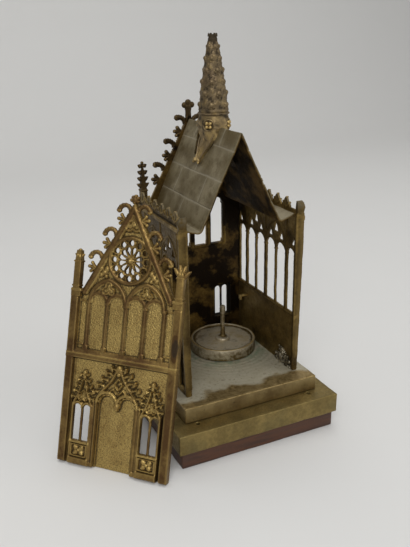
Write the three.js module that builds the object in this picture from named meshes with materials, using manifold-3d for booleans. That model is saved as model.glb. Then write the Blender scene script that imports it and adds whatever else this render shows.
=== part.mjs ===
// A gilt-brass Gothic chapel reliquary that has come apart: the nave stands on its stepped plinth
// with its west end open, and the detached west front leans against its front left corner.
// Millimetres, +Z up. The origin is the middle of the underside of the base slab, and the open
// end of the nave looks along -Y.
import * as THREE from "three";
import { mergeVertices } from "three/addons/utils/BufferGeometryUtils.js";
import Module from "manifold-3d";

const wasm = await Module();
wasm.setup();

// ---------------------------------------------------------------- driving dimensions, in mm

const SLAB = { width: 106, depth: 116.6, top: 10.7 };
const PLINTH = { width: 110, depth: 120.6, top: 23.5 };
const STEP = { width: 92, front: -48.5, back: 51.5, top: 33.4 };
const PIN_HOLE = { x: 39, y: -50.9, radius: 1.4, depth: 6 };

const NAVE = {
  inside: 36.3, // from the middle plane to the inner face of a side wall
  front: -36.2,
  back: 42.3,
  rearWallFace: 37.7, // inner face of the rear wall
};

// The two gable walls, west front and rear, come from one pattern.
const GABLE = {
  halfWidth: 36.0,
  plate: 1.8, // thickness of the ground
  pier: { width: 5.0, depth: 4.6, top: 100 },
  string: { bottom: 63.8, top: 69.3, depth: 4.9 },
  cap: { bottom: 100, top: 105, depth: 5.0 },
  verge: { base: 29.7, width: 4.4, depth: 4.0 },
  apex: 158.4,
};
const ROSE = { height: 124.3, outer: 14.2, ring: 1.3, eyelet: 10.4, petalIn: 2.4, petalOut: 7.8 };
const ARCADE = { pitch: 12.3, light: 9.0, sill: 69.3, spring: 97.4, rib: 2.7, arch: 12.4 };
const NICHE = { centre: 22.4, light: 5.2, mullion: 1.3, sill: 14.3, spring: 34.2, gablet: 57, half: 6.9 };
const LOWER = { ground: 2.2, front: 4.4, pocket: 2.6 }; // its lights stand forward, hollowed behind
const DOOR = { half: 12.4, jamb: 3.4, spring: 40, canopy: 63 };
const CROCKETS = 3; // pairs on each slope of a gable
const HOOK = { width: 2.8, tip: 2.2, heading: 80, first: 124, pitch: 14.4 }; // heading in degrees from U
const OPEN_LEAF = { length: 6.2, heading: 8, first: 118, pitch: 14.8 };
const WEST_HOOKS = { length: 10.6, bend: 160 };
const REAR_HOOKS = { length: 7.8, bend: 95 };
const CROCKET_DEPTH = [1.0, 3.4]; // outward from the wall's inner face
const ARCADE_EYELETS = { head: [104.6, 1.9], side: [108.4, 1.3], step: 3.4 }; // height and radius
const PINNACLE = { shaft: 4.4, out: 2.6, inset: 2.9, tier: 5 };
const ROOT = 0.6; // how deep in a wall's ground the raised work starts
const FRONT_PANEL = { x: -114.4, y: -13.4, turn: -46.7, lean: 18.2 };

const SIDE = {
  thick: 1.2,
  bottom: STEP.top,
  sill: 73.2,
  spring: 110.2,
  light: 10.7,
  mullion: 1.6,
  pierGap: 2.6, // solid between one pair of lights and the next
  halfLight: 8.2,
  middle: 1.4, // Y of the middle of the arcade
  wallTop: 140.8,
  leafTop: 147,
};
const SIDE_PIER = { width: 2.4, depth: 5.2, footDepth: 3.4, top: 139 };
const SIDE_LEAF = { pitch: 10.6, half: 4 };
const SIDE_EYELETS = [
  [0, 14.6, 2.0],
  [-5.4, 9.4, 1.7],
  [5.4, 9.4, 1.7],
]; // from the middle of a pair of lights, above the springing, and radius

const ROOF = {
  front: -32.6,
  back: 37.6,
  ridge: 190.1,
  eave: 26.6,
  eaveHeight: 135.3,
  gutterHeight: 138.6,
  thick: 1.3,
};
const SPIRE = { y: 2.5, ring: 197.7, radius: 8.7, top: 241.6, tipRadius: 2.1, drum: 10.2, tiers: 6 };
const SPIRE_SWELL = [
  [0.27, 7.5],
  [0.62, 5.3],
]; // radius at shares of the spire's height: it swells a little

const DISC = { x: 11, y: 15.0, radius: 22.4, height: 8.2, lip: 1.3, recess: 1.1 };
const KNOBS = { around: 5, sunk: 0.6, least: 1.1, growth: 0.1 }; // growth per mm of the spire's radius
const SPINDLE = { radius: 1.6, collar: 5.4, collarHeight: 1.6, height: 24.5 };

const BRASS = { gilt: 0xa88a4c, dark: 0x5f4a2a, sheet: 0x77705c, dull: 0x86713f };

// ---------------------------------------------------------------- solids: making, joining, cutting

const radians = THREE.MathUtils.degToRad;

function solid(geometry, x = 0, y = 0, z = 0) {
  const bare = geometry.index ? geometry.toNonIndexed() : geometry.clone();
  bare.deleteAttribute("normal");
  bare.deleteAttribute("uv");
  const merged = mergeVertices(bare.translate(x, y, z), 1e-4);
  const mesh = new wasm.Mesh({
    numProp: 3,
    vertProperties: merged.attributes.position.array,
    triVerts: new Uint32Array(merged.index.array),
  });
  return new wasm.Manifold(mesh);
}

// Joins pairs, then pairs of pairs, which stays quick for many small pieces.
function join(pieces) {
  let level = pieces;
  while (level.length > 1) {
    const next = [];
    for (let i = 0; i < level.length; i += 2) {
      next.push(i + 1 < level.length ? level[i].add(level[i + 1]) : level[i]);
    }
    level = next;
  }
  return level[0];
}

function geometryOf(body) {
  const mesh = body.getMesh();
  const geometry = new THREE.BufferGeometry();
  geometry.setAttribute("position", new THREE.BufferAttribute(mesh.vertProperties, 3));
  geometry.setIndex(new THREE.BufferAttribute(mesh.triVerts, 1));
  geometry.computeVertexNormals();
  return geometry;
}

// A box from its lowest corner to its highest corner.
function box(x0, y0, z0, x1, y1, z1) {
  const geometry = new THREE.BoxGeometry(x1 - x0, y1 - y0, z1 - z0);
  return solid(geometry, (x0 + x1) / 2, (y0 + y1) / 2, (z0 + z1) / 2);
}

// A flat shape made thick: it lies from z0 to z1.
function slab(shape, z0, z1, curveSegments = 6) {
  const options = { depth: z1 - z0, bevelEnabled: false, curveSegments };
  return solid(new THREE.ExtrudeGeometry(shape, options), 0, 0, z0);
}

function polygon(points) {
  return new THREE.Shape(points.map(([x, y]) => new THREE.Vector2(x, y)));
}

function disc(radius, height, sides) {
  return solid(new THREE.CylinderGeometry(radius, radius, height, sides).rotateX(Math.PI / 2));
}

function circle(x, y, radius) {
  return new THREE.Shape().absarc(x, y, radius, 0, 2 * Math.PI, false);
}

// ---------------------------------------------------------------- Gothic shapes, in a wall's own U and V

// An opening with a flat sill and a round head.
function lancet(u, sill, spring, width) {
  const half = width / 2;
  const shape = new THREE.Shape();
  shape.moveTo(u - half, sill);
  shape.lineTo(u + half, sill);
  shape.lineTo(u + half, spring);
  shape.absarc(u, spring, half, 0, Math.PI, false);
  return shape;
}

// A pointed arch band, from two arcs struck on the springing line.
function pointedArch(u, spring, half, band, rise = 1.2, steps = 5) {
  const reach = (half * (1 + rise * rise)) / 2; // arc radius that puts the apex at half * rise
  const side = (radius) => {
    const tip = Math.acos((reach - half) / radius);
    return Array.from({ length: steps + 1 }, (_, i) => {
      const angle = (tip * i) / steps;
      return [half - reach + radius * Math.cos(angle), spring + radius * Math.sin(angle)];
    });
  };
  const outer = side(reach);
  const inner = side(reach - band);
  const mirrored = (points) => points.slice(0, -1).map(([x, y]) => [-x, y]).reverse();
  const loop = [...outer, ...mirrored(outer), ...mirrored(inner).reverse(), ...[...inner].reverse()];
  return polygon(loop.map(([x, y]) => [u + x, y]));
}

// A band that follows a curled centre line and thins towards its tip.
function curl(u, v, heading, length, bend, rootWidth, tipWidth) {
  const left = [];
  const right = [];
  const steps = 5;
  let angle = heading;
  let x = u;
  let y = v;
  for (let i = 0; i <= steps; i++) {
    const half = THREE.MathUtils.lerp(rootWidth, tipWidth, i / steps) / 2;
    left.push([x - half * Math.sin(angle), y + half * Math.cos(angle)]);
    right.push([x + half * Math.sin(angle), y - half * Math.cos(angle)]);
    x += (length / steps) * Math.cos(angle);
    y += (length / steps) * Math.sin(angle);
    angle += bend / steps;
  }
  return polygon([...right, ...left.reverse()]);
}

// A leaf with a narrow foot and a three-lobed tip, growing from a point along a heading.
function leaf(u, v, heading, length, spread) {
  const points = [
    [-0.18, -0.28],
    [0.85, -0.62 * spread],
    [0.62, -0.2 * spread],
    [1, 0],
    [0.62, 0.2 * spread],
    [0.85, 0.62 * spread],
    [-0.18, 0.28],
  ];
  const cos = Math.cos(heading) * length;
  const sin = Math.sin(heading) * length;
  return polygon(points.map(([a, b]) => [u + a * cos - b * sin, v + a * sin + b * cos]));
}

// ---------------------------------------------------------------- gable walls: west front and rear

function gableOutline() {
  const { halfWidth, cap, verge, apex } = GABLE;
  const right = [
    [halfWidth, 0],
    [halfWidth, cap.top],
    [verge.base, cap.top],
    [0, apex],
  ];
  const left = right.slice(0, 3).map(([u, v]) => [-u, v]);
  return polygon([...right, ...left.reverse()]);
}

function roseHoles() {
  const holes = [];
  for (let i = 0; i < 12; i++) {
    const angle = radians(30 * i);
    const u = ROSE.eyelet * Math.cos(angle);
    const v = ROSE.height + ROSE.eyelet * Math.sin(angle);
    holes.push(circle(u, v, 1.45));
    const turn = angle + radians(15);
    const along = (r, side) => [
      r * Math.cos(turn) - side * Math.sin(turn),
      ROSE.height + r * Math.sin(turn) + side * Math.cos(turn),
    ];
    const petal = [
      along(ROSE.petalIn, 0),
      along(ROSE.petalOut - 1.4, -1.2),
      along(ROSE.petalOut, -0.5),
      along(ROSE.petalOut, 0.5),
      along(ROSE.petalOut - 1.4, 1.2),
    ];
    holes.push(polygon(petal));
  }
  return holes;
}

function nicheLights(side) {
  const offset = (NICHE.light + NICHE.mullion) / 2;
  return [-offset, offset].map((step) =>
    lancet(side * NICHE.centre + step, NICHE.sill, NICHE.spring, NICHE.light),
  );
}

function arcadeLights() {
  return [-1.5, -0.5, 0.5, 1.5].map((place) =>
    lancet(place * ARCADE.pitch, ARCADE.sill, ARCADE.spring, ARCADE.light),
  );
}

// Eyelets in the head of each pair of lights, pierced in the rear wall only.
function arcadeEyelets() {
  const holes = [];
  for (const side of [-1, 1]) {
    const u = side * ARCADE.pitch;
    const { head, side: low, step } = ARCADE_EYELETS;
    holes.push(circle(u, ...head), circle(u - step, ...low), circle(u + step, ...low));
  }
  return holes;
}

function verges() {
  const { verge, apex, cap } = GABLE;
  return [-1, 1].map((side) => {
    const outline = [
      [side * verge.base, cap.bottom],
      [side * verge.base, cap.top],
      [0, apex],
      [0, apex - verge.width * 1.9],
      [side * (verge.base - verge.width), cap.top - 1],
      [side * (verge.base - verge.width), cap.bottom],
    ];
    return slab(polygon(side > 0 ? outline : outline.reverse()), ROOT, verge.depth);
  });
}

// Hooks that curl over and open leaves, by turns, up both slopes.
function crockets({ length, bend }) {
  const pieces = [];
  const { verge, apex, cap } = GABLE;
  const slope = Math.atan2(apex - cap.top, verge.base);
  for (const side of [-1, 1]) {
    for (let i = 0; i < CROCKETS; i++) {
      const at = (v) => [side * ((apex - v) / Math.tan(slope) - 0.8), v];
      const hook = at(HOOK.first + HOOK.pitch * i);
      const open = at(OPEN_LEAF.first + OPEN_LEAF.pitch * i);
      const turned = (heading) => radians(side > 0 ? heading : 180 - heading);
      const bent = -side * radians(bend);
      const arm = curl(...hook, turned(HOOK.heading), length, bent, HOOK.width, HOOK.tip);
      pieces.push(slab(arm, ...CROCKET_DEPTH));
      const fan = leaf(...open, turned(OPEN_LEAF.heading), OPEN_LEAF.length, 0.85);
      pieces.push(slab(fan, ...CROCKET_DEPTH));
    }
  }
  return pieces;
}

function gableMouldings() {
  const { halfWidth, pier, string, cap } = GABLE;
  const pieces = [];
  for (const side of [-1, 1]) {
    const span = (a, b) => [Math.min(side * a, side * b), Math.max(side * a, side * b)];
    const block = (a, b, v0, v1, depth) => {
      const [u0, u1] = span(a, b);
      pieces.push(box(u0, v0, ROOT, u1, v1, depth));
    };
    block(halfWidth - pier.width, halfWidth, 0, pier.top, pier.depth);
    block(29.5, halfWidth + 0.3, cap.bottom, cap.top, cap.depth);
    block(DOOR.half, DOOR.half + DOOR.jamb, 0, DOOR.spring, LOWER.front - 0.6);
    block(NICHE.centre - NICHE.half, NICHE.centre + NICHE.half, 0, NICHE.spring + 3.4, LOWER.front);
    block(2 * ARCADE.pitch - ARCADE.rib / 2, 2 * ARCADE.pitch + ARCADE.rib / 2, string.top - 1, 101, 3.0);
    block(ARCADE.pitch - 1.3, ARCADE.pitch + 1.3, string.top - 1, 101, 3.0);
    pieces.push(slab(pointedArch(side * ARCADE.pitch, ARCADE.spring, ARCADE.arch, 1.6), ROOT, 3.2));
    const foot = side * NICHE.centre;
    const gablet = [
      [foot - NICHE.half, NICHE.spring + 1.6],
      [foot + NICHE.half, NICHE.spring + 1.6],
      [foot + 1.2, NICHE.gablet - 5],
      [foot, NICHE.gablet],
      [foot - 1.2, NICHE.gablet - 5],
    ];
    pieces.push(slab(polygon(gablet), ROOT, LOWER.front - 0.3));
  }
  pieces.push(box(-ARCADE.rib / 2, string.top - 1, ROOT, ARCADE.rib / 2, 101, 3.0));
  pieces.push(box(-halfWidth, string.bottom, ROOT, halfWidth, string.top, string.depth));
  const ring = circle(0, ROSE.height, ROSE.outer);
  ring.holes.push(circle(0, ROSE.height, ROSE.outer - ROSE.ring));
  pieces.push(slab(ring, ROOT, 3.2, 12));
  const canopy = [
    [-16, DOOR.spring],
    [-11.5, DOOR.spring],
    [-7, DOOR.spring + 5.6],
    [0, DOOR.spring],
    [7, DOOR.spring + 5.6],
    [11.5, DOOR.spring],
    [16, DOOR.spring],
    [12, DOOR.spring + 9],
    [4, DOOR.spring + 14],
    [2.8, DOOR.canopy - 2],
    [0, DOOR.canopy],
    [-2.8, DOOR.canopy - 2],
    [-4, DOOR.spring + 14],
    [-12, DOOR.spring + 9],
  ];
  pieces.push(slab(polygon(canopy), ROOT, LOWER.front));
  pieces.push(box(-halfWidth, 0, ROOT, halfWidth, string.bottom + 1, LOWER.ground));
  return pieces;
}

// A corner pinnacle above its cap: a square shaft, then a crocketed stump or spirelet.
function pinnacle(u, shaftTop, top, tipWidth) {
  const { shaft, out: w, tier } = PINNACLE;
  const cone = new THREE.CylinderGeometry(tipWidth / 2, shaft / 2, top - shaftTop, 4, 1);
  cone.rotateY(Math.PI / 4);
  const pieces = [
    box(u - shaft / 2, GABLE.cap.top - 1, w - shaft / 2, u + shaft / 2, shaftTop, w + shaft / 2),
    solid(cone, u, (shaftTop + top) / 2 - 0.05, w),
  ];
  for (let v = shaftTop + 2; v < top - 1; v += tier) {
    const reach = shaft * 0.62 + (tipWidth - shaft) * 0.3 * ((v - shaftTop) / (top - shaftTop));
    for (const side of [-1, 1]) {
      const ear = leaf(u, v, side > 0 ? radians(35) : radians(145), reach + 1, 0.8);
      pieces.push(slab(ear, w - 0.9, w + 0.9));
    }
  }
  return pieces;
}

// The stem and three-lobed head of the finial, above the apex.
function fleuron(lobeTop) {
  const stem = polygon([
    [-2, GABLE.apex - 5],
    [2, GABLE.apex - 5],
    [1, lobeTop - 4],
    [-1, lobeTop - 4],
  ]);
  const pieces = [slab(stem, 0.8, 3.4)];
  for (const [u, v, r] of [
    [0, lobeTop - 2, 2],
    [-2.5, lobeTop - 3.6, 1.7],
    [2.5, lobeTop - 3.6, 1.7],
  ]) {
    pieces.push(slab(circle(u, v, r), 0.9, 3.3, 4));
  }
  return pieces;
}

function gableWall({ arcadePierced, hooks, extras }) {
  const outline = gableOutline();
  outline.holes.push(...roseHoles());
  const openings = [...nicheLights(-1), ...nicheLights(1)];
  if (arcadePierced) {
    openings.push(...arcadeLights(), ...arcadeEyelets());
  }
  const wall = join([
    slab(outline, 0, GABLE.plate, 3),
    ...gableMouldings(),
    ...verges(),
    ...crockets(hooks),
    ...extras,
  ]);
  const pockets = [-1, 1].map((side) => {
    const [u0, u1] = [side * NICHE.centre - NICHE.half, side * NICHE.centre + NICHE.half];
    return box(u0 + 0.7, NICHE.sill - 1, -1, u1 - 0.7, NICHE.spring + 3.1, LOWER.pocket);
  });
  const cuts = openings.map((shape) => slab(shape, -1, 8, 3));
  return wall.subtract(join([...cuts, ...pockets]));
}

// The west front has lost its finial and both pinnacle tops: a knob and two stumps are left.
function westFront() {
  const knob = solid(new THREE.IcosahedronGeometry(3.4, 0), 0, GABLE.apex + 1.6, 2.4);
  const pinU = GABLE.halfWidth - PINNACLE.inset;
  const stumps = [...pinnacle(-pinU, 121.5, 128.5, 2.6), ...pinnacle(pinU, 119, 122, 3.6)];
  const flare = [-1, 1].map((side) => {
    const heading = radians(90 - 30 * side);
    return slab(leaf(pinU + side * 0.9, 119.6, heading, 6.4, 0.6), 1.3, 3.9);
  });
  const extras = [knob, ...stumps, ...flare];
  return gableWall({ arcadePierced: false, hooks: WEST_HOOKS, extras });
}

// The rear wall keeps its finial and, at the left of the nave, its whole corner pinnacle.
function rearWall() {
  const pinU = GABLE.halfWidth - PINNACLE.inset;
  const extras = [
    ...fleuron(168),
    ...pinnacle(pinU, 113, 131, 0.8),
    ...pinnacle(-pinU, 110, 114, 3.6),
  ];
  return gableWall({ arcadePierced: true, hooks: REAR_HOOKS, extras });
}

// ---------------------------------------------------------------- side walls

// Middles of the lights in one half of the arcade, with their widths.
function sideLights() {
  const { light, mullion, pierGap, halfLight } = SIDE;
  const first = pierGap / 2 + light / 2;
  const second = first + light + mullion;
  const last = second + light / 2 + pierGap + halfLight / 2;
  const half = [
    [first, light],
    [second, light],
    [last, halfLight],
  ];
  return [...half, ...half.map(([u, width]) => [-u, width])];
}

function sideWall(front) {
  const { thick, bottom, sill, spring, wallTop, leafTop, light, mullion, pierGap } = SIDE;
  const middle = -front * SIDE.middle;
  const frontEdge = front * -NAVE.front;
  const backEdge = -front * NAVE.back;
  const [u0, u1] = [Math.min(frontEdge, backEdge), Math.max(frontEdge, backEdge)];
  const pieces = [box(u0, bottom, 0, u1, wallTop, thick)];

  // Plinth course, sill string and cornice, on the outer face.
  for (const [v0, v1, depth] of [
    [bottom, bottom + 4, thick + 2.0],
    [sill - 3.4, sill - 1.2, thick + 1.4],
    [wallTop - 5.4, wallTop - 2.6, thick + 1.8],
  ]) {
    pieces.push(box(u0, v0, ROOT, u1, v1, depth));
  }

  // Corner piers: the front one stands proud on both faces and ends in a broken cap.
  const pierBack = frontEdge - front * SIDE_PIER.width;
  const [p0, p1] = [Math.min(frontEdge, pierBack), Math.max(frontEdge, pierBack)];
  const pier = box(p0, bottom, ROOT, p1, SIDE_PIER.top, SIDE_PIER.depth).warp((vertex) => {
    if (vertex[1] < bottom + 1 && vertex[2] > SIDE_PIER.footDepth) vertex[2] = SIDE_PIER.footDepth;
  });
  pieces.push(pier);
  pieces.push(box(p0 - 0.4, 134, ROOT, p1 + 0.4, 137, SIDE_PIER.depth + 0.4));
  const brokenCap = [
    [p0, SIDE_PIER.top - 1],
    [p1, SIDE_PIER.top - 1],
    [p1 - 0.2, SIDE_PIER.top + 4.5],
    [p1 - 0.7, SIDE_PIER.top + 8.6],
    [(p0 + p1) / 2, SIDE_PIER.top + 6.8],
    [p0 + 0.6, SIDE_PIER.top + 7.8],
    [p0 + 0.2, SIDE_PIER.top + 3],
  ];
  pieces.push(slab(polygon(brokenCap), ROOT, SIDE_PIER.depth - 0.4));
  const rearPier = backEdge + front * 2.6;
  const [r0, r1] = [Math.min(backEdge, rearPier), Math.max(backEdge, rearPier)];
  pieces.push(box(r0, bottom, ROOT, r1, wallTop + 2, thick + 1.0));

  // Buttress strips below the arcade, and a pointed arch over each pair of lights.
  const bay = 2 * light + mullion + pierGap;
  for (const place of [-1, 0, 1]) {
    const u = middle + place * bay;
    pieces.push(box(u - 1.8, bottom, ROOT, u + 1.8, sill - 2, thick + 1.7));
  }
  for (const side of [-1, 1]) {
    const u = middle + (side * bay) / 2;
    pieces.push(slab(pointedArch(u, spring + 1, bay / 2 + 0.45, 1.3, 1.4), ROOT, thick + 0.7));
  }

  // Pointed leaves along the parapet.
  const { pitch, half } = SIDE_LEAF;
  const leaves = Math.floor((u1 - u0 - 2 * SIDE_PIER.width) / pitch);
  for (let i = 0; i < leaves; i++) {
    const u = (u0 + u1) / 2 - front * 1 + (i - (leaves - 1) / 2) * pitch;
    const outline = [
      [u - half, wallTop - 1],
      [u + half, wallTop - 1],
      [u + 3.4, wallTop + 2.6],
      [u + 1.6, wallTop + 3.4],
      [u, leafTop],
      [u - 1.6, wallTop + 3.4],
      [u - 3.4, wallTop + 2.6],
    ];
    pieces.push(slab(polygon(outline), 0, thick + 0.6));
  }

  // Lights, and three eyelets in the head of each pair; one over each half bay.
  const openings = sideLights().map(([u, width]) => {
    const head = width < light ? spring + 1 : spring;
    return slab(lancet(middle + u, sill, head, width), -1, thick + 0.3, 3);
  });
  for (const side of [-1, 1]) {
    const u = middle + (side * bay) / 2;
    for (const [du, up, radius] of SIDE_EYELETS) {
      openings.push(slab(circle(u + du, spring + up, radius), -1, thick + 0.3, 3));
    }
    const edge = middle + side * (bay + pierGap / 2 + SIDE.halfLight);
    const eyelet = [
      [edge, spring + 7.4],
      [edge, spring + 15],
      [edge - side * 4.2, spring + 7.4],
    ];
    openings.push(slab(polygon(side > 0 ? eyelet : eyelet.reverse()), -1, thick + 0.3));
  }
  return join(pieces).subtract(join(openings));
}

// The right wall also carries a bent fixing lug and a rough lump of solder on its inner face.
function rightWall() {
  const lug = join([box(25.5, 63.4, -4.6, 28.5, 64.6, 0.5), box(25.5, 61, -5.6, 28.5, 64.6, -4.4)]);
  const lumps = [
    [-23, 3.0, 4.2],
    [-27.5, 3.6, 3.4],
    [-20.4, 1.6, 2.6],
  ].map(([u, radius, up]) => {
    const ball = new THREE.IcosahedronGeometry(radius, 0);
    return solid(ball, u, STEP.top + up - 1.4, -0.2);
  });
  const above = box(-40, STEP.top, -20, 40, STEP.top + 20, 2);
  return sideWall(-1).add(lug).add(join(lumps).intersect(above));
}

// ---------------------------------------------------------------- roof and spire

// The folded sheet: gutter, slope, ridge, slope, gutter, as a closed section in X and Z.
function roof() {
  const { ridge, eave, eaveHeight, gutterHeight, thick, front, back } = ROOF;
  const run = ridge - eaveHeight;
  const drop = thick * Math.hypot(1, run / eave); // the sheet's thickness, measured straight down
  const upper = [
    [NAVE.inside, gutterHeight],
    [eave, eaveHeight],
    [0, ridge],
    [-eave, eaveHeight],
    [-NAVE.inside, gutterHeight],
  ];
  const lower = [
    [-NAVE.inside, gutterHeight - 1.4],
    [-eave + 0.4, eaveHeight - 1.6],
    [0, ridge - drop],
    [eave - 0.4, eaveHeight - 1.6],
    [NAVE.inside, gutterHeight - 1.4],
  ];
  const options = { depth: back - front, bevelEnabled: false };
  const section = new THREE.ExtrudeGeometry(polygon([...upper, ...lower]), options);
  const sheet = solid(section.rotateX(Math.PI / 2).translate(0, back, 0));

  // The slot for the spire: wide at the ridge, and open behind the tongue.
  const slot = polygon([
    [SPIRE.y - 11.4, ridge + 5],
    [SPIRE.y + 22, ridge + 5],
    [SPIRE.y + 22, ridge],
    [SPIRE.y + 6.8, ridge - 20.6],
    [SPIRE.y - 2.4, ridge - 20.6],
    [SPIRE.y - 9.4, ridge - 11.4],
    [SPIRE.y - 11.4, ridge],
  ]);
  const cut = new THREE.ExtrudeGeometry(slot, { depth: 80, bevelEnabled: false });
  return sheet.subtract(solid(cut.rotateX(Math.PI / 2).rotateZ(Math.PI / 2).translate(-40, 0, 0)));
}

// A tongue of the saddle, lying down one slope of the roof and ending in a scrolled foot.
function tongue(side) {
  const slope = Math.atan2(ROOF.ridge - ROOF.eaveHeight, ROOF.eave);
  const outline = polygon([
    [-9.4, -8],
    [-9, 4],
    [-7.4, 12.4],
    [-3, 21],
    [-2.6, 25],
    [2.6, 25],
    [3, 21],
    [7.4, 12.4],
    [9, 4],
    [9.4, -8],
  ]);
  const plate = new THREE.ExtrudeGeometry(outline, { depth: 1.8, bevelEnabled: false });
  // The outline's Y runs down the slope and its depth stands off the sheet.
  plate.rotateZ(Math.PI).rotateX(Math.PI / 2).rotateZ(-side * Math.PI / 2);
  plate.translate(side * 0.2, 0, 0);
  plate.rotateY(side * (Math.PI / 2 - slope));
  return solid(plate, 0, SPIRE.y, ROOF.ridge);
}

function spire() {
  const { y, ring, radius, top, tipRadius, drum, tiers } = SPIRE;
  const profile = [
    [0, ROOF.ridge - 8],
    [drum, ROOF.ridge - 8],
    [drum, ROOF.ridge + 1],
    [radius + 0.2, ring - 1.6],
    [radius + 1, ring - 1],
    [radius + 1, ring + 1],
    [radius, ring + 1.6],
    ...SPIRE_SWELL.map(([share, r]) => [r, THREE.MathUtils.lerp(ring, top, share)]),
    [tipRadius, top - 3],
    [tipRadius + 0.6, top - 2.2],
    [tipRadius + 0.6, top],
    [0, top],
  ].map(([r, z]) => new THREE.Vector2(r, z));
  const core = solid(new THREE.LatheGeometry(profile, 12).rotateX(Math.PI / 2), 0, y, 0);
  const knobs = [];
  const rise = (top - 5 - ring) / tiers;
  for (let tier = 0; tier < tiers; tier++) {
    const z = ring + rise * (tier + 0.65);
    const wall = THREE.MathUtils.lerp(radius, tipRadius, (z - ring) / (top - ring)) - KNOBS.sunk;
    for (let i = 0; i < KNOBS.around; i++) {
      const angle = radians((360 / KNOBS.around) * (i + (tier % 2 ? 0.5 : 0)) + 20);
      const size = KNOBS.least + KNOBS.growth * wall;
      const knob = new THREE.IcosahedronGeometry(size, 0);
      knobs.push(solid(knob, wall * Math.cos(angle), y + wall * Math.sin(angle), z));
    }
  }
  // The drum straddles the ridge: what would lie below the sheet is cut away.
  const slope = (ROOF.ridge - ROOF.eaveHeight) / ROOF.eave;
  const below = polygon([
    [-30, ROOF.ridge - 30 * slope + 0.3],
    [30, ROOF.ridge - 30 * slope + 0.3],
    [0, ROOF.ridge + 0.3],
  ]);
  const wedge = new THREE.ExtrudeGeometry(below, { depth: 60, bevelEnabled: false });
  const under = solid(wedge.rotateX(Math.PI / 2), 0, 30, 0);
  return join([core, ...knobs, tongue(-1), tongue(1)]).subtract(under);
}

// ---------------------------------------------------------------- base, disc and spindle

function plinth() {
  const block = new THREE.BoxGeometry(PLINTH.width, PLINTH.depth, PLINTH.top - SLAB.top);
  const holes = [-1, 1].map((side) => {
    const hole = disc(PIN_HOLE.radius, PIN_HOLE.depth, 10);
    return hole.translate([side * PIN_HOLE.x, PIN_HOLE.y, PLINTH.top - PIN_HOLE.depth / 2 + 0.5]);
  });
  return solid(block, 0, 0, (PLINTH.top + SLAB.top) / 2).subtract(join(holes));
}

function turned(points, sides) {
  const profile = points.map(([r, z]) => new THREE.Vector2(r, z));
  return new THREE.LatheGeometry(profile, sides).rotateX(Math.PI / 2);
}

function standDisc() {
  const { radius, height, lip, recess } = DISC;
  return turned(
    [
      [0, 0],
      [radius - 0.5, 0],
      [radius, 0.5],
      [radius, height - 0.4],
      [radius - 0.4, height],
      [radius - lip, height],
      [radius - lip - 0.4, height - recess],
      [0, height - recess],
    ],
    28,
  );
}

function spindle() {
  const { radius, collar, collarHeight, height } = SPINDLE;
  return turned(
    [
      [0, 0],
      [collar, 0],
      [collar, collarHeight - 0.5],
      [collar - 0.8, collarHeight],
      [radius + 0.9, collarHeight],
      [radius, collarHeight + 1],
      [radius, height - 5],
      [radius + 0.4, height - 4.4],
      [radius + 0.4, height - 0.5],
      [radius - 0.2, height],
      [0, height],
    ],
    10,
  );
}

// ---------------------------------------------------------------- the assembly

const reliquary = new THREE.Group();

function piece(name, geometry, colour, roughness = 0.45, metalness = 1, parent = reliquary) {
  const material = new THREE.MeshStandardMaterial({ color: colour, roughness, metalness });
  const mesh = new THREE.Mesh(geometry, material);
  mesh.name = name;
  parent.add(mesh);
  return mesh;
}

// Stands a wall, drawn in U, V and outward depth, so that it faces the way that turn gives.
function stand(mesh, turn, x, y, z, lean = 0) {
  mesh.rotation.set(radians(90 - lean), 0, radians(turn), "ZYX");
  mesh.position.set(x, y, z);
}

const slabBlock = new THREE.BoxGeometry(SLAB.width, SLAB.depth, SLAB.top).translate(0, 0, SLAB.top / 2);
piece("base_slab", slabBlock, 0x5a2f26, 0.6, 0);
piece("plinth", geometryOf(plinth()), BRASS.dull);
const stepBox = box(-STEP.width / 2, STEP.front, PLINTH.top, STEP.width / 2, STEP.back, STEP.top);
piece("step", geometryOf(stepBox), BRASS.dull);

const right = piece("right_wall", geometryOf(rightWall()), BRASS.dull);
stand(right, 90, NAVE.inside, 0, 0);
const left = piece("left_wall", geometryOf(sideWall(1)), BRASS.dark);
stand(left, -90, -NAVE.inside, 0, 0);
const rear = piece("rear_wall", geometryOf(rearWall()), BRASS.dark);
stand(rear, 180, 0, NAVE.rearWallFace, STEP.top);

const panel = piece("front_panel", geometryOf(westFront()), BRASS.gilt);
const along = radians(FRONT_PANEL.turn);
stand(
  panel,
  FRONT_PANEL.turn,
  FRONT_PANEL.x + GABLE.halfWidth * Math.cos(along),
  FRONT_PANEL.y + GABLE.halfWidth * Math.sin(along),
  0,
  FRONT_PANEL.lean,
);

piece("roof", geometryOf(roof()), BRASS.sheet);
piece("spire", geometryOf(spire()), 0x8d7a58);
piece("stand_disc", standDisc(), BRASS.dull).position.set(DISC.x, DISC.y, STEP.top);
const post = piece("spindle", spindle(), BRASS.dark);
post.position.set(DISC.x, DISC.y, STEP.top + DISC.height - DISC.recess);

export default reliquary;
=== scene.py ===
"""A gilt-brass chapel reliquary: its open nave on a stepped plinth, and its west front leaning beside it.

Walls are fields of height over their own U and V, cut to outline and pierced, then stood where the
CAD frame has them. Crockets, leaves and pinnacles are swept and turned pieces on those walls.
Modelling is in millimetres; everything is placed in the frame in metres.
"""
import math

import bpy
import numpy as np
from mathutils import Matrix, Vector


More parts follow.
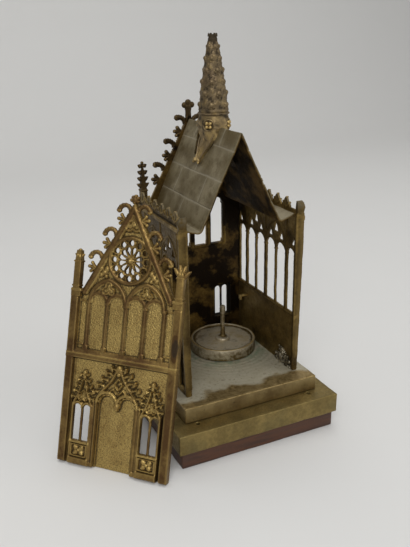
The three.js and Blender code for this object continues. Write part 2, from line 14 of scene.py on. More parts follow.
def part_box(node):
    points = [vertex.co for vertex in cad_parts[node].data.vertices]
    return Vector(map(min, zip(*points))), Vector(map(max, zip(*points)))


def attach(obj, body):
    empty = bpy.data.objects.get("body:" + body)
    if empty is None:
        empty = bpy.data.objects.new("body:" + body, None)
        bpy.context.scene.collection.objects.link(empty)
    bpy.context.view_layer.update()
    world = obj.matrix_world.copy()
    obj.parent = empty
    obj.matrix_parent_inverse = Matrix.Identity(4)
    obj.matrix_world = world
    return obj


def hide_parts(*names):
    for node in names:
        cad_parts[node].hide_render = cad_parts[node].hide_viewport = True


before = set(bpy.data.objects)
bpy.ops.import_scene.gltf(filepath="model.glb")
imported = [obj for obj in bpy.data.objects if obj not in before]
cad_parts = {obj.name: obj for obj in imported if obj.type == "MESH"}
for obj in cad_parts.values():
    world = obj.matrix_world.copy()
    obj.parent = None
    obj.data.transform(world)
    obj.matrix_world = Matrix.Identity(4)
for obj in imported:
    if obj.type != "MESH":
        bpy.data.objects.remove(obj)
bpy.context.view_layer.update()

MM = 0.001
radians = math.radians


def edges_mm(node):
    """Lowest and highest corner of a CAD node, in millimetres."""
    low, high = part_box(node)
    return np.array(low) / MM, np.array(high) / MM


slab_low, slab_high = edges_mm("base_slab")
plinth_low, plinth_high = edges_mm("plinth")
step_low, step_high = edges_mm("step")
roof_low, roof_high = edges_mm("roof")
disc_low, disc_high = edges_mm("stand_disc")
DISC_X, DISC_Y = ((disc_low + disc_high) / 2)[:2]

FLOOR = step_high[2]  # top of the step, which is the chapel's floor
INNER = 36.3  # middle plane to the inner face of a side wall
NAVE_FRONT, NAVE_BACK = -36.2, 42.3
REAR_FACE = edges_mm("rear_wall")[0][1]

GABLE_HALF, GABLE_APEX = 36.0, 158.4
PIER_WIDTH, PIER_TOP, PIER_OUT = 5.0, 100.0, 4.6
STRING_LOW, STRING_HIGH, STRING_OUT = 63.8, 69.3, 4.9
CAP_LOW, CAP_HIGH, CAP_OUT = 100.0, 105.0, 5.0
VERGE_BASE = 29.7
SLOPE = math.atan2(GABLE_APEX - CAP_HIGH, VERGE_BASE)
PLATE = 1.8
ROSE_V, ROSE_EYELETS = 124.3, 10.4
ARCADE_PITCH, ARCADE_LIGHT, ARCADE_SPRING = 12.3, 9.0, 97.4
NICHE_U, NICHE_HALF, NICHE_SILL, NICHE_SPRING, NICHE_TOP = 22.4, 6.9, 14.3, 34.2, 57.0
NICHE_LIGHT, NICHE_MULLION = 5.2, 1.3
DOOR_HALF, DOOR_SPRING = 12.4, 40.0
PANEL_CORNER, PANEL_TURN, PANEL_LEAN = (-114.4, -13.4), -46.7, 18.2

SIDE_THICK, SIDE_SILL, SIDE_SPRING, SIDE_TOP, SIDE_LEAF_TOP = 1.2, 73.2, 110.2, 140.8, 147.0
SIDE_LIGHT, SIDE_MULLION, SIDE_GAP, SIDE_HALF_LIGHT, SIDE_MIDDLE = 10.7, 1.6, 2.6, 8.2, 1.4

RIDGE, EAVE, EAVE_Z, GUTTER_Z, SHEET = roof_high[2], 26.6, 135.3, 138.6, 1.3
PIN_X, PIN_Y, PIN_RADIUS, PIN_DEPTH = 39, -50.9, 1.4, 6
SPIRE_Y, SPIRE_RING, SPIRE_TOP = 2.5, 197.7, edges_mm("spire")[1][2]

CAMERA_PLACE, CAMERA_LENS = (-0.1805, -0.3674, 0.24815), 44.57
CAMERA_ANGLES = (-25.054, 20.462, -1.061)  # azimuth, elevation and roll, in degrees


# ---------------------------------------------------------------- noise and distances


def waves(points, size, seed, count=9):
    """Smooth noise, mostly within -1 and 1, with lumps about size across."""
    rng = np.random.default_rng(seed)
    k = rng.normal(0, 1, (count, points.shape[-1]))
    k *= 2 * np.pi / size / np.linalg.norm(k, axis=1, keepdims=True)
    k *= rng.uniform(0.6, 1.5, (count, 1))
    return np.sin(points @ k.T + rng.uniform(0, 2 * np.pi, count)).sum(-1) / math.sqrt(count)


def polygon_gap(u, v, points):
    """Distance to a polygon's outline, negative inside it."""
    best = np.full(u.shape, 1e9)
    inside = np.zeros(u.shape, bool)
    for (a0, a1), (b0, b1) in zip(points, points[1:] + points[:1]):
        e0, e1 = b0 - a0, b1 - a1
        w0, w1 = u - a0, v - a1
        t = np.clip((w0 * e0 + w1 * e1) / (e0 * e0 + e1 * e1), 0, 1)
        best = np.minimum(best, (w0 - e0 * t) ** 2 + (w1 - e1 * t) ** 2)
        if a1 != b1:
            inside ^= ((a1 > v) != (b1 > v)) & (u < e0 * (v - a1) / e1 + a0)
    return np.where(inside, -1, 1) * np.sqrt(best)


def lancet_gap(u, v, centre, sill, spring, width):
    """Distance to a round-headed opening, negative inside it."""
    half = width / 2
    straight = np.maximum(np.abs(u - centre) - half, sill - v)
    return np.where(v > spring, np.hypot(u - centre, v - spring) - half, straight)


def arc(centre, radius, start, end, steps=14):
    """Points along an arc, from one angle to another in degrees."""
    return [
        (centre[0] + radius * math.cos(a), centre[1] + radius * math.sin(a))
        for a in np.radians(np.linspace(start, end, steps + 1))
    ]


def pointed_arch(centre, spring, half, rise=1.2):
    """Points of a pointed arch, from one springing over the apex to the other."""
    steps = 10
    reach = half * (1 + rise * rise) / 2
    tip = math.acos((reach - half) / reach)
    side = [
        (half - reach + reach * math.cos(tip * i / steps), reach * math.sin(tip * i / steps))
        for i in range(steps + 1)
    ]
    both = side + [(-x, y) for x, y in side[-2::-1]]
    return [(centre + x, spring + y) for x, y in both]


def polar(turn, reach, centre=(0, 0)):
    """A point reach away from a centre, turn degrees round from U towards V."""
    a = radians(turn)
    return centre[0] + reach * math.cos(a), centre[1] + reach * math.sin(a)


def grid_quads(rows, columns, closed=True):
    """Quads between rows of points. Closed rows join up with their own first point."""
    return [
        [k * columns + s, k * columns + (s + 1) % columns,
         (k + 1) * columns + (s + 1) % columns, (k + 1) * columns + s]
        for k in range(rows - 1) for s in range(columns if closed else columns - 1)
    ]


def blur(field, radius):
    """The field averaged over a square, radius cells each way."""
    padded = np.pad(field, radius, "edge")
    for axis in (0, 1):
        total = np.zeros_like(padded)
        for k in range(-radius, radius + 1):
            total += np.roll(padded, k, axis)
        padded = total / (2 * radius + 1)
    return padded[radius:-radius, radius:-radius]


# ---------------------------------------------------------------- relief: a plate with moulded faces


class Face:
    """Heights and tones of one face of a plate, built up from rolls, blocks and domes.
    Tone runs from 0, bright ground, to 1, dark brown moulding."""

    def __init__(self, grid, height=0.0, tone=0.5):
        self.grid = grid
        self.height = np.full(grid.u.shape, float(height))
        self.tone = np.full(grid.u.shape, float(tone))

    def _put(self, window, height, mask, tone):
        below, shade = self.height[window], self.tone[window]
        higher = mask & (height > below)
        below[higher] = height[higher]
        shade[higher] = tone

    def roll(self, points, half, top, tone=0.6):
        """A half-round bar along points. half may be (first, last), to taper it."""
        first, last = half if isinstance(half, tuple) else (half, half)
        count = len(points) - 1
        for i, (a, b) in enumerate(zip(points, points[1:])):
            r0 = first + (last - first) * i / count
            r1 = first + (last - first) * (i + 1) / count
            reach = max(r0, r1)
            window = self.grid.near(
                min(a[0], b[0]) - reach, max(a[0], b[0]) + reach,
                min(a[1], b[1]) - reach, max(a[1], b[1]) + reach,
            )
            u, v = self.grid.u[window] - a[0], self.grid.v[window] - a[1]
            e0, e1 = b[0] - a[0], b[1] - a[1]
            t = np.clip((u * e0 + v * e1) / (e0 * e0 + e1 * e1 + 1e-9), 0, 1)
            d = np.hypot(u - e0 * t, v - e1 * t)
            r = r0 + (r1 - r0) * t
            self._put(window, top - r + np.sqrt(np.maximum(r * r - d * d, 0)), d < r, tone)

    def block(self, u0, u1, v0, v1, top, edge=0.5, tone=0.6):
        """A flat-topped block with rounded edges."""
        u0, u1 = min(u0, u1), max(u0, u1)
        window = self.grid.near(u0, u1, v0, v1)
        u, v = self.grid.u[window], self.grid.v[window]
        d = np.maximum(abs(u - (u0 + u1) / 2) - (u1 - u0) / 2, abs(v - (v0 + v1) / 2) - (v1 - v0) / 2)
        fall = np.clip(d + edge, 0, edge)
        self._put(window, top - edge + np.sqrt(edge * edge - fall * fall), d <= 0, tone)

    def dome(self, u, v, radius, top, tone=0.4, flat=0.8):
        """A round lump whose rise is flat times its radius."""
        window = self.grid.near(u - radius, u + radius, v - radius, v + radius)
        d = np.hypot(self.grid.u[window] - u, self.grid.v[window] - v) / radius
        rise = radius * flat
        self._put(window, top - rise + rise * np.sqrt(np.maximum(1 - d * d, 0)), d < 1, tone)

    def ring(self, u, v, radius, half, top, tone, steps):
        self.roll(arc((u, v), radius, 0, 360, steps), half, top, tone)

    def sink(self, gap, depth_to, tone):
        """Lowers the face to a height where gap is negative, with soft edges."""
        share = np.clip(-gap / 0.5, 0, 1)
        lowered = self.height + (depth_to - self.height) * share
        mask = (gap < 0) & (self.height > depth_to)
        self.height[mask] = lowered[mask]
        self.tone[mask] = tone

    def punch(self, mask, depth, seed):
        """Roughens a ground where mask is true, as a punch does."""
        rng = np.random.default_rng(seed)
        self.height += np.where(mask, depth * rng.uniform(-1, 1, mask.shape), 0)

    def trefoil(self, u, v, size, top, tone=0.45):
        """A raised outline of three round lobes, with a leaf inside each."""
        for turn in (90, 210, 330):
            x, y = polar(turn, size * 0.42, (u, v))
            self.roll(arc((x, y), size * 0.38, turn - 118, turn + 118, 10), size * 0.1, top, tone)
            self.dome(x, y, size * 0.26, top - 0.8, 0.1, 0.3)
        self.dome(u, v, size * 0.3, top - 0.8, 0.1, 0.3)

    def sprig(self, u, v, heading, size, top, tone=0.4):
        """A small curled leaf: a bent stalk with three rounded lobes at its end."""
        bend = math.copysign(55, math.cos(radians(heading)))
        points, angle, x, y = [(u, v)], heading, u, v
        for _ in range(4):
            x, y = polar(angle, size * 0.22, (x, y))
            angle -= bend / 4
            points.append((x, y))
        self.roll(points, (size * 0.2, size * 0.13), top - 0.3, tone)
        for turn, reach, radius in ((0, 0.16, 0.2), (75, 0.28, 0.17), (-75, 0.26, 0.17)):
            self.dome(*polar(angle + turn, size * reach, (x, y)), size * radius, top, tone)


class Plate:
    """A thin wall over a regular grid in U and V. gap is negative inside its outline."""

    def __init__(self, u0, u1, v0, v1, step):
        self.step = step
        self.us = np.arange(u0, u1 + step * 0.5, step)
        self.vs = np.arange(v0, v1 + step * 0.5, step)
        self.u, self.v = np.meshgrid(self.us, self.vs)
        self.gap = np.full(self.u.shape, -1.0)
        self.front = self.back = None

    def near(self, u0, u1, v0, v1):
        """The window of the grid that holds a rectangle."""
        i0, i1 = np.searchsorted(self.vs, (v0, v1))
        j0, j1 = np.searchsorted(self.us, (u0, u1))
        return np.s_[max(i0 - 1, 0) : i1 + 1, max(j0 - 1, 0) : j1 + 1]

    def pierce(self, gap):
        self.gap = np.maximum(self.gap, -gap)

    def add(self, gap):
        self.gap = np.minimum(self.gap, gap)

    def mesh(self, name, place):
        """Both faces and the rim between them, as one object. place takes points in U, V and W."""
        d = self.gap
        cells = (d[:-1, :-1] + d[1:, :-1] + d[:-1, 1:] + d[1:, 1:]) < 0
        touched = np.zeros(d.shape, int)
        for i in (0, 1):
            for j in (0, 1):
                touched[i : i + cells.shape[0], j : j + cells.shape[1]] += cells
        slope_v, slope_u = np.gradient(d, self.step)
        steep = np.hypot(slope_u, slope_v) + 1e-9
        rim = (touched > 0) & (touched < 4)
        shift = np.where(rim, np.clip(-d, -self.step, self.step), 0)
        u, v = self.u + shift * slope_u / steep, self.v + shift * slope_v / steep
        used = touched > 0
        index = np.cumsum(used).reshape(used.shape) - 1
        count = int(used.sum())
        sheets = [
            np.stack([u[used], v[used], self.front.height[used]], 1),
            np.stack([u[used], v[used], -self.back.height[used]], 1),
        ]
        i, j = np.nonzero(cells)
        quads = [np.stack([index[i, j], index[i, j + 1], index[i + 1, j + 1], index[i + 1, j]], 1)]
        quads.append(quads[0][:, ::-1] + count)
        padded = np.pad(cells, 1)
        for a, b, kept, dropped in self._rim_edges(index, padded):
            mask = kept & ~dropped
            a, b = a[mask], b[mask]
            quads.append(np.stack([b, a, a + count, b + count], 1))
        tone = [self.front.tone[used], self.back.tone[used]]
        cavity = []
        # cavity: height above the blurred surroundings; the shader lightens raised places (painted highlight,
        # partly wear) and darkens hollows (painted shade, partly dirt).
        for face in (self.front, self.back):
            hollow = face.height - blur(face.height, max(1, round(1.0 / self.step)))
            hollow = np.where(rim, np.maximum(hollow, 0), hollow)
            cavity.append(np.clip(hollow / 0.8, -1, 1)[used])
        return make_mesh(
            name, place(np.concatenate(sheets)), np.concatenate(quads),
            np.concatenate(tone), np.concatenate(cavity),
        )

    @staticmethod
    def _rim_edges(index, padded):
        """Directed grid edges as the kept cell's front face runs along them."""
        above, below = padded[1:, 1:-1], padded[:-1, 1:-1]
        left_end, right_end = index[:, :-1], index[:, 1:]
        yield left_end, right_end, above, below
        yield right_end, left_end, below, above
        right, left = padded[1:-1, 1:], padded[1:-1, :-1]
        low_end, high_end = index[:-1, :], index[1:, :]
        yield high_end, low_end, right, left
        yield low_end, high_end, left, right


def make_mesh(name, points, faces, tone=None, cavity=None, crease=42):
    """An object from points in metres and faces, smooth but for creases."""
    mesh = bpy.data.meshes.new(name)
    mesh.from_pydata(points.tolist(), [], faces if isinstance(faces, list) else faces.tolist())
    for label, values in (("tone", tone), ("cavity", cavity)):
        if values is not None:
            layer = mesh.attributes.new(label, "FLOAT", "POINT")
            layer.data.foreach_set("value", np.asarray(values, np.float32))
    mesh.polygons.foreach_set("use_smooth", [True] * len(mesh.polygons))
    mesh.set_sharp_from_angle(angle=radians(crease))
    mesh.update()
    piece = bpy.data.objects.new(name, mesh)
    bpy.context.scene.collection.objects.link(piece)
    return piece


def standing(turn, x, y, z, lean=0):
    """Takes wall points (U, V, W in mm) to the frame: V goes up and W outwards."""
    turned = Matrix.Rotation(radians(turn), 3, "Z") @ Matrix.Rotation(radians(90 - lean), 3, "X")
    matrix = np.array(turned)
    return lambda points: (np.asarray(points, float) @ matrix.T + (x, y, z)) * MM


def upright(points):
    return np.asarray(points, float) * MM


# ---------------------------------------------------------------- sculpture: sweeps, balls and blocks


class Sculpture:
    """Small carved parts gathered into one mesh, in a wall's U, V, W or in the frame's millimetres."""

    def __init__(self):
        self.points, self.faces, self.tones, self.count = [], [], [], 0

    def _add(self, points, faces, tone):
        self.points.append(np.asarray(points, float))
        self.faces += [[self.count + k for k in face] for face in faces]
        self.tones += [tone] * len(points)
        self.count += len(points)

    def sweep(self, path, wide, deep, sides=9, tone=0.5, rib=0.0):
        """An oval section along a path. wide and deep are half sizes, each a number or one per point."""
        path = np.asarray(path, float)
        n = len(path)
        wide, deep = np.broadcast_to(wide, n), np.broadcast_to(deep, n)
        tangent = np.gradient(path, axis=0)
        tangent /= np.linalg.norm(tangent, axis=1, keepdims=True) + 1e-9
        angle = np.arange(sides) * 2 * np.pi / sides
        rings = []
        for k in range(n):
            across = np.cross((0.0, 0.0, 1.0), tangent[k])
            if np.linalg.norm(across) < 1e-3:
                across = np.array([1.0, 0, 0])
            across /= np.linalg.norm(across)
            up = np.cross(tangent[k], across)
            swell = 1 + rib * np.cos(k * 2.1)
            rings.append(path[k] + swell * (np.outer(np.cos(angle) * wide[k], across)
                                            + np.outer(np.sin(angle) * deep[k], up)))
        faces = grid_quads(n, sides)
        faces.append(list(range(sides))[::-1])
        faces.append([(n - 1) * sides + s for s in range(sides)])
        self._add(np.concatenate(rings), faces, tone)

    def ball(self, centre, radii, tone=0.4):
        """An ellipsoid. radii is one number or three."""
        rings, sides = 7, 10
        radii = np.broadcast_to(radii, 3)
        points = [(0, 0, -1)]
        for k in range(1, rings):
            lift = math.pi * k / rings
            for s in range(sides):
                a = 2 * math.pi * s / sides
                ring_radius = math.sin(lift)
                points.append((ring_radius * math.cos(a), ring_radius * math.sin(a), -math.cos(lift)))
        points.append((0, 0, 1))
        ring = lambda k, s: 1 + (k - 1) * sides + s % sides
        faces = [[0, ring(1, s + 1), ring(1, s)] for s in range(sides)]
        for k in range(1, rings - 1):
            faces += [
                [ring(k, s), ring(k, s + 1), ring(k + 1, s + 1), ring(k + 1, s)] for s in range(sides)
            ]
        last = len(points) - 1
        faces += [[last, ring(rings - 1, s), ring(rings - 1, s + 1)] for s in range(sides)]
        self._add(np.array(points) * radii + centre, faces, tone)

    def block(self, low, high, edge=0.4, tone=0.6):
        """A box with rounded edges."""
        self._add(*rounded_box(np.array(low, float), np.array(high, float), edge, 6.0), tone)

    def frustum(self, foot, top, half0, half1, tone=0.6):
        """A tapering square spike along V."""
        sides = 4
        a = np.arange(sides) * 2 * math.pi / sides + radians(45)
        scale = 1 / math.cos(math.pi / sides)
        ring = lambda centre, r: [
            (centre[0] + r * scale * math.cos(t), centre[1], centre[2] + r * scale * math.sin(t))
            for t in a
        ]
        faces = [[s, s + sides, (s + 1) % sides + sides, (s + 1) % sides] for s in range(sides)]
        faces += [list(range(sides)), [s + sides for s in range(sides)][::-1]]
        self._add(ring(foot, half0) + ring(top, half1), faces, tone)

    def mesh(self, name, place, crease=50):
        # An even cavity of 0.25, which the shader turns into a slight painted highlight, partly wear.
        return make_mesh(name, place(np.concatenate(self.points)), self.faces, self.tones,
                         [0.25] * self.count, crease)


def rounded_box(low, high, edge, cell):
    """Points and quads of a box whose edges are rounded, with cells about cell across."""
    size = high - low
    lines = []
    for axis in range(3):
        run = size[axis] - 2 * edge
        inner = np.linspace(edge, size[axis] - edge, max(2, int(run / cell) + 1))
        near = edge * (1 - np.cos(np.linspace(0, math.pi / 2, 4)))[:-1]
        lines.append(np.concatenate([near, inner, (size[axis] - near)[::-1]]))
    points, faces, seen = [], [], {}

    def corner(key):
        if key not in seen:
            seen[key] = len(points)
            points.append([lines[k][key[k]] for k in range(3)])
        return seen[key]

    for axis in range(3):
        a, b = (axis + 1) % 3, (axis + 2) % 3
        for end in (0, len(lines[axis]) - 1):
            for i in range(len(lines[a]) - 1):
                for j in range(len(lines[b]) - 1):
                    quad = []
                    for di, dj in ((0, 0), (1, 0), (1, 1), (0, 1)):
                        key = [0, 0, 0]
                        key[axis], key[a], key[b] = end, i + di, j + dj
                        quad.append(corner(tuple(key)))
                    faces.append(quad if end else quad[::-1])
    points = np.array(points)
    core = np.clip(points, edge, size - edge)
    away = points - core
    length = np.linalg.norm(away, axis=1, keepdims=True)
    points = np.where(length > 1e-6, core + away / np.maximum(length, 1e-6) * edge, points)
    return points + low, faces


def curled(start, heading, length, bend, steps=12):
    """Points of a line in the wall's plane that turns steadily by bend degrees."""
    x, y, angle = start[0], start[1], heading
    points = []
    for _ in range(steps + 1):
        points.append((x, y))
        x, y = polar(angle, length / steps, (x, y))
        angle += bend / steps
    return points


def hook(art, start, side, length, bend, plump=1.0):
    """An arched, ribbed crocket that curls over to a blunt, lobed tip."""
    w = 2.2
    heading = 80 if side > 0 else 100
    line = curled(start, heading, length, -side * bend, 18)
    n = len(line)
    half = plump * (1.5 - 0.3 * np.sin(np.linspace(0, math.pi, n)))
    art.sweep([(x, y, w) for x, y in line], half, 1.2, rib=0.09, tone=0.85)
    ridge = [(x + 0.3 * side, y + 0.35, w + 0.75) for x, y in line[3:-1]]
    art.sweep(ridge, 0.4, 0.4, sides=6, tone=0.2)
    lobe = np.array((0.95, 0.95, 1.0)) * plump
    for spread in (-55, 0, 55):
        art.ball((*polar(heading - side * bend + spread, 0.8, line[-1]), w + 0.15), lobe, tone=0.5)


def palmette(art, start, heading, length, w, plump):
    """An open leaf: fingers that fan out from a narrow foot, each with a rounded end."""
    fingers, spread, tone = 3, 62, 0.7
    half = np.linspace(0.8, 1.0, 7) * plump
    for k in range(fingers):
        turn = heading + spread * (k / (fingers - 1) - 0.5)
        line = curled(start, turn, length * (0.86 + 0.14 * (k % 2)), (turn - heading) * 0.6, 6)
        art.sweep([(x, y, w) for x, y in line], half, half[::-1], sides=8, tone=tone)
        art.ball((*line[-1], w + 0.1), np.array((1.0, 1.0, 0.85)) * plump, tone=tone - 0.3)
        art.sweep([(x, y, w + 0.75 * plump) for x, y in line[1:]], 0.3, 0.3, sides=6, tone=0.15)


def thorn(art, start, heading, length, w, tone, plump):
    """A pointed leaf that bends outwards."""
    line = curled(start, heading, length, (heading - 90) * 0.45, 5)
    half = plump * np.array((1.1, 1.25, 1.2, 1.0, 0.7, 0.25))
    art.sweep([(x, y, w) for x, y in line], half, half * 0.9, sides=7, tone=tone)


def pinnacle(art, u, shaft_top, top, tip, plump=1.0):
    """A square shaft above the cap, then a crocketed spirelet or the stump of one."""
    w, half = 2.6, 2.2
    art.block((u - half, CAP_HIGH - 1, w - half), (u + half, shaft_top, w + half), 0.5, 0.55)
    for v in (CAP_HIGH + 1.5, shaft_top - 0.6):
        art.block((u - half - 0.35, v - 0.5, w - half - 0.2),
                  (u + half + 0.35, v + 0.5, w + half + 0.3), 0.3, 0.5)
    art.frustum((u, shaft_top - 0.5, w), (u, top, w), half * 0.9, tip, 0.6)
    tiers = max(1, int((top - shaft_top) / 4.2))
    for k in range(tiers):
        share = (k + 0.35) / tiers
        v = shaft_top + share * (top - shaft_top)
        reach = (3.4 - 1.6 * share) * plump
        for side in (-1, 1):
            thorn(art, (u + side * 0.9, v), 90 - side * 48, reach, w, 0.7, plump)
            outer_w = w + 1.5 - 0.7 * share
            thorn(art, (u + side * 0.5, v - 0.4), 90 - side * 12, reach * 0.8, outer_w, 0.5, plump)
    art.ball((u, top - 0.3, w), max(tip * 0.9, 0.9 * plump), 0.4)


def gable_crockets(art, length, bend, plump):
    """Hooks and open leaves by turns up both slopes of a gable."""
    for side in (-1, 1):
        for k in range(3):
            at = lambda v: (side * ((GABLE_APEX - v) / math.tan(SLOPE) - 0.8), v)
            hook(art, at(124.0 + 14.4 * k), side, length, bend, plump)
            palmette(art, at(118 + 14.8 * k), 8 if side > 0 else 172, 4.6, 2.3, plump)


# ---------------------------------------------------------------- the two gable walls


def gable_plate(step, niche_light):
    """The pierced outline that the west front and the rear wall share."""
    plate = Plate(-GABLE_HALF - 0.3, GABLE_HALF + 0.3, 0, GABLE_APEX, step)
    outline = [
        (-GABLE_HALF, 0), (GABLE_HALF, 0), (GABLE_HALF, CAP_HIGH), (VERGE_BASE, CAP_HIGH),
        (0, GABLE_APEX), (-VERGE_BASE, CAP_HIGH), (-GABLE_HALF, CAP_HIGH),
    ]
    plate.gap = polygon_gap(plate.u, plate.v, outline)
    for k in range(12):
        u, v = polar(30 * k, ROSE_EYELETS, (0, ROSE_V))
        plate.pierce(np.hypot(plate.u - u, plate.v - v) - 1.7)
        turn = 30 * k + 15
        along = lambda r, s: polar(turn + 90, s, polar(turn, r, (0, ROSE_V)))
        petal = [along(r, s) for r, s in ((2.5, 0), (6.5, -1.5), (8.0, -0.9), (8.0, 0.9), (6.5, 1.5))]
        plate.pierce(polygon_gap(plate.u, plate.v, petal))
    for side in (-1, 1):
        for shift in (-1, 1):
            centre = side * NICHE_U + shift * (niche_light + NICHE_MULLION) / 2
            plate.pierce(lancet_gap(plate.u, plate.v, centre, NICHE_SILL, NICHE_SPRING - 0.5, niche_light))
    plate.front = Face(plate, PLATE, 0.0)
    plate.back = Face(plate, 0, 0.85)
    return plate


def rose(face):
    face.ring(0, ROSE_V, 13.3, 0.95, 3.5, 0.8, 60)
    face.ring(0, ROSE_V, 12.5, 0.45, 2.9, 0.3, 60)
    for turn in range(0, 360, 30):
        at = lambda reach, more=0: polar(turn + more, reach, (0, ROSE_V))
        face.ring(*at(ROSE_EYELETS), 2.05, 0.42, 2.8, 0.55, 16)
        face.roll([at(1.2), at(8.6)], (0.38, 0.48), 2.6, 0.7)
        face.roll(arc(at(7.0, 15), 1.7, turn - 75, turn + 105, 8), 0.34, 2.6, 0.5)
    face.dome(0, ROSE_V, 2.0, 3.3, 0.6)
    face.dome(0, ROSE_V, 0.9, 3.7, 0.3)


def upper_storey(face):
    for place in (-2, -1, 0, 1, 2):
        u = place * ARCADE_PITCH
        face.roll([(u, STRING_HIGH - 1), (u, ARCADE_SPRING)], 1.25, 3.2, 0.8)
        face.roll([(u - 0.9, STRING_HIGH), (u - 0.9, ARCADE_SPRING)], 0.4, 2.5, 0.35)
        face.block(u - 1.7, u + 1.7, STRING_HIGH - 0.5, STRING_HIGH + 2.2, 3.3, 0.5, 0.7)
        face.block(u - 1.6, u + 1.6, ARCADE_SPRING - 0.6, ARCADE_SPRING + 0.8, 3.3, 0.4, 0.7)
    for place in (-1.5, -0.5, 0.5, 1.5):
        centre = (place * ARCADE_PITCH, ARCADE_SPRING)
        face.roll(arc(centre, ARCADE_PITCH / 2, 0, 180), 1.05, 3.0, 0.8)
        face.roll(arc(centre, ARCADE_PITCH / 2 - 1.15, 0, 180), 0.35, 2.4, 0.3)
    for side in (-1, 1):
        u = side * ARCADE_PITCH
        face.roll(pointed_arch(u, ARCADE_SPRING, 11.9), 1.1, 3.5, 0.75)
        face.roll(pointed_arch(u, ARCADE_SPRING, 10.6), 0.4, 2.6, 0.3)
        face.trefoil(u, 106.2, 5.2, 3.3)
        for v in (72, 98):
            face.roll([(side * 26.6, v), (side * 30.4, v)], 0.5, 2.6, 0.5)
        berries = ((0, 0, 1.9), (-1.6, 2.2, 1.6), (1.9, -1.6, 1.5), (2.0, 2.4, 1.3), (-1.5, -2.2, 1.2))
        for du, dv, radius in berries:
            face.dome(side * (16.0 + du), 116.0 + dv, radius, 3.4, 0.35)
        face.roll([(side * 23.5, 106.5), (side * 19.5, 113.5)], 0.45, 2.7, 0.4)
    rose(face)
    face.trefoil(0, 145.4, 6.4, 3.4)
    for side in (-1, 1):
        across, along = math.sin(SLOPE), math.cos(SLOPE)
        for inset, half, top, tone in ((1.7, 1.7, 4.0, 0.85), (3.7, 0.55, 3.1, 0.25), (0.5, 0.5, 3.4, 0.5)):
            foot = (side * (VERGE_BASE - inset * across), CAP_HIGH - 1 - inset * along)
            head = (0, GABLE_APEX - inset / along)
            face.roll([foot, head], half, top, tone)


def door(face):
    plain = np.maximum(abs(face.grid.u) - DOOR_HALF, face.grid.v - DOOR_SPRING - 4)
    face.sink(plain, 1.2, 0.05)
    for side in (-1, 1):
        face.roll([(side * 13.3, 0), (side * 13.3, DOOR_SPRING)], 0.9, 4.0, 0.75)
        face.roll([(side * 15.0, 0), (side * 15.0, DOOR_SPRING)], 0.85, 3.8, 0.6)
        face.roll([(side * 11.9, 0), (side * 11.9, DOOR_SPRING)], 0.4, 2.6, 0.4)
        face.block(side * 12.4, side * 16.0, 0, 2.6, 4.2, 0.4, 0.6)
        turn = (0, 180) if side > 0 else (180, 0)
        face.roll(arc((side * 6.7, DOOR_SPRING - 0.6), 6.6, *turn), 0.95, 4.3, 0.35)
        face.roll(arc((side * 6.7, DOOR_SPRING - 0.6), 5.0, *turn), 0.45, 3.2, 0.25)
        ogee = [(11.2, 45.6), (8.6, 48.4), (6.0, 51.2), (4.0, 54.2), (2.3, 57.4), (0.9, 60.8)]
        face.roll([(side * u, v) for u, v in ogee], (0.7, 0.85), 4.2, 0.55)
        leaves = (12.6, 45.4, 3.4, 15), (9.4, 49.4, 4.2, 25), (6.6, 52.8, 4.3, 30), (4.2, 56.8, 4.2, 35)
        for u, v, size, turned in leaves:
            face.sprig(side * u, v, 90 - side * (90 - turned), size, 4.5, 0.45)
        face.roll([(side * 5.2, 46.6), (side * 3.2, 48.6), (side * 0.8, 45.6)], 0.5, 3.6, 0.5)
        face.sprig(side * 0.7, 59.4, 90 - side * 50, 4.2, 4.9, 0.5)
    face.dome(0, DOOR_SPRING - 1.2, 2.0, 4.6, 0.4)
    face.dome(0, DOOR_SPRING - 3.2, 1.1, 4.2, 0.35)
    rim = [(0, 48.4), (2.6, 51.6), (0, 55.2), (-2.6, 51.6), (0, 48.4)]
    face.roll(rim, 0.6, 4.0, 0.5)
    diamond = abs(face.grid.u) / 2.3 + abs(face.grid.v - 51.8) / 3.1 - 1
    face.sink(diamond, 1.6, 0.1)
    face.dome(0, 61.4, 1.9, 4.9, 0.35)
    face.dome(0, 57.6, 1.3, 4.5, 0.35)


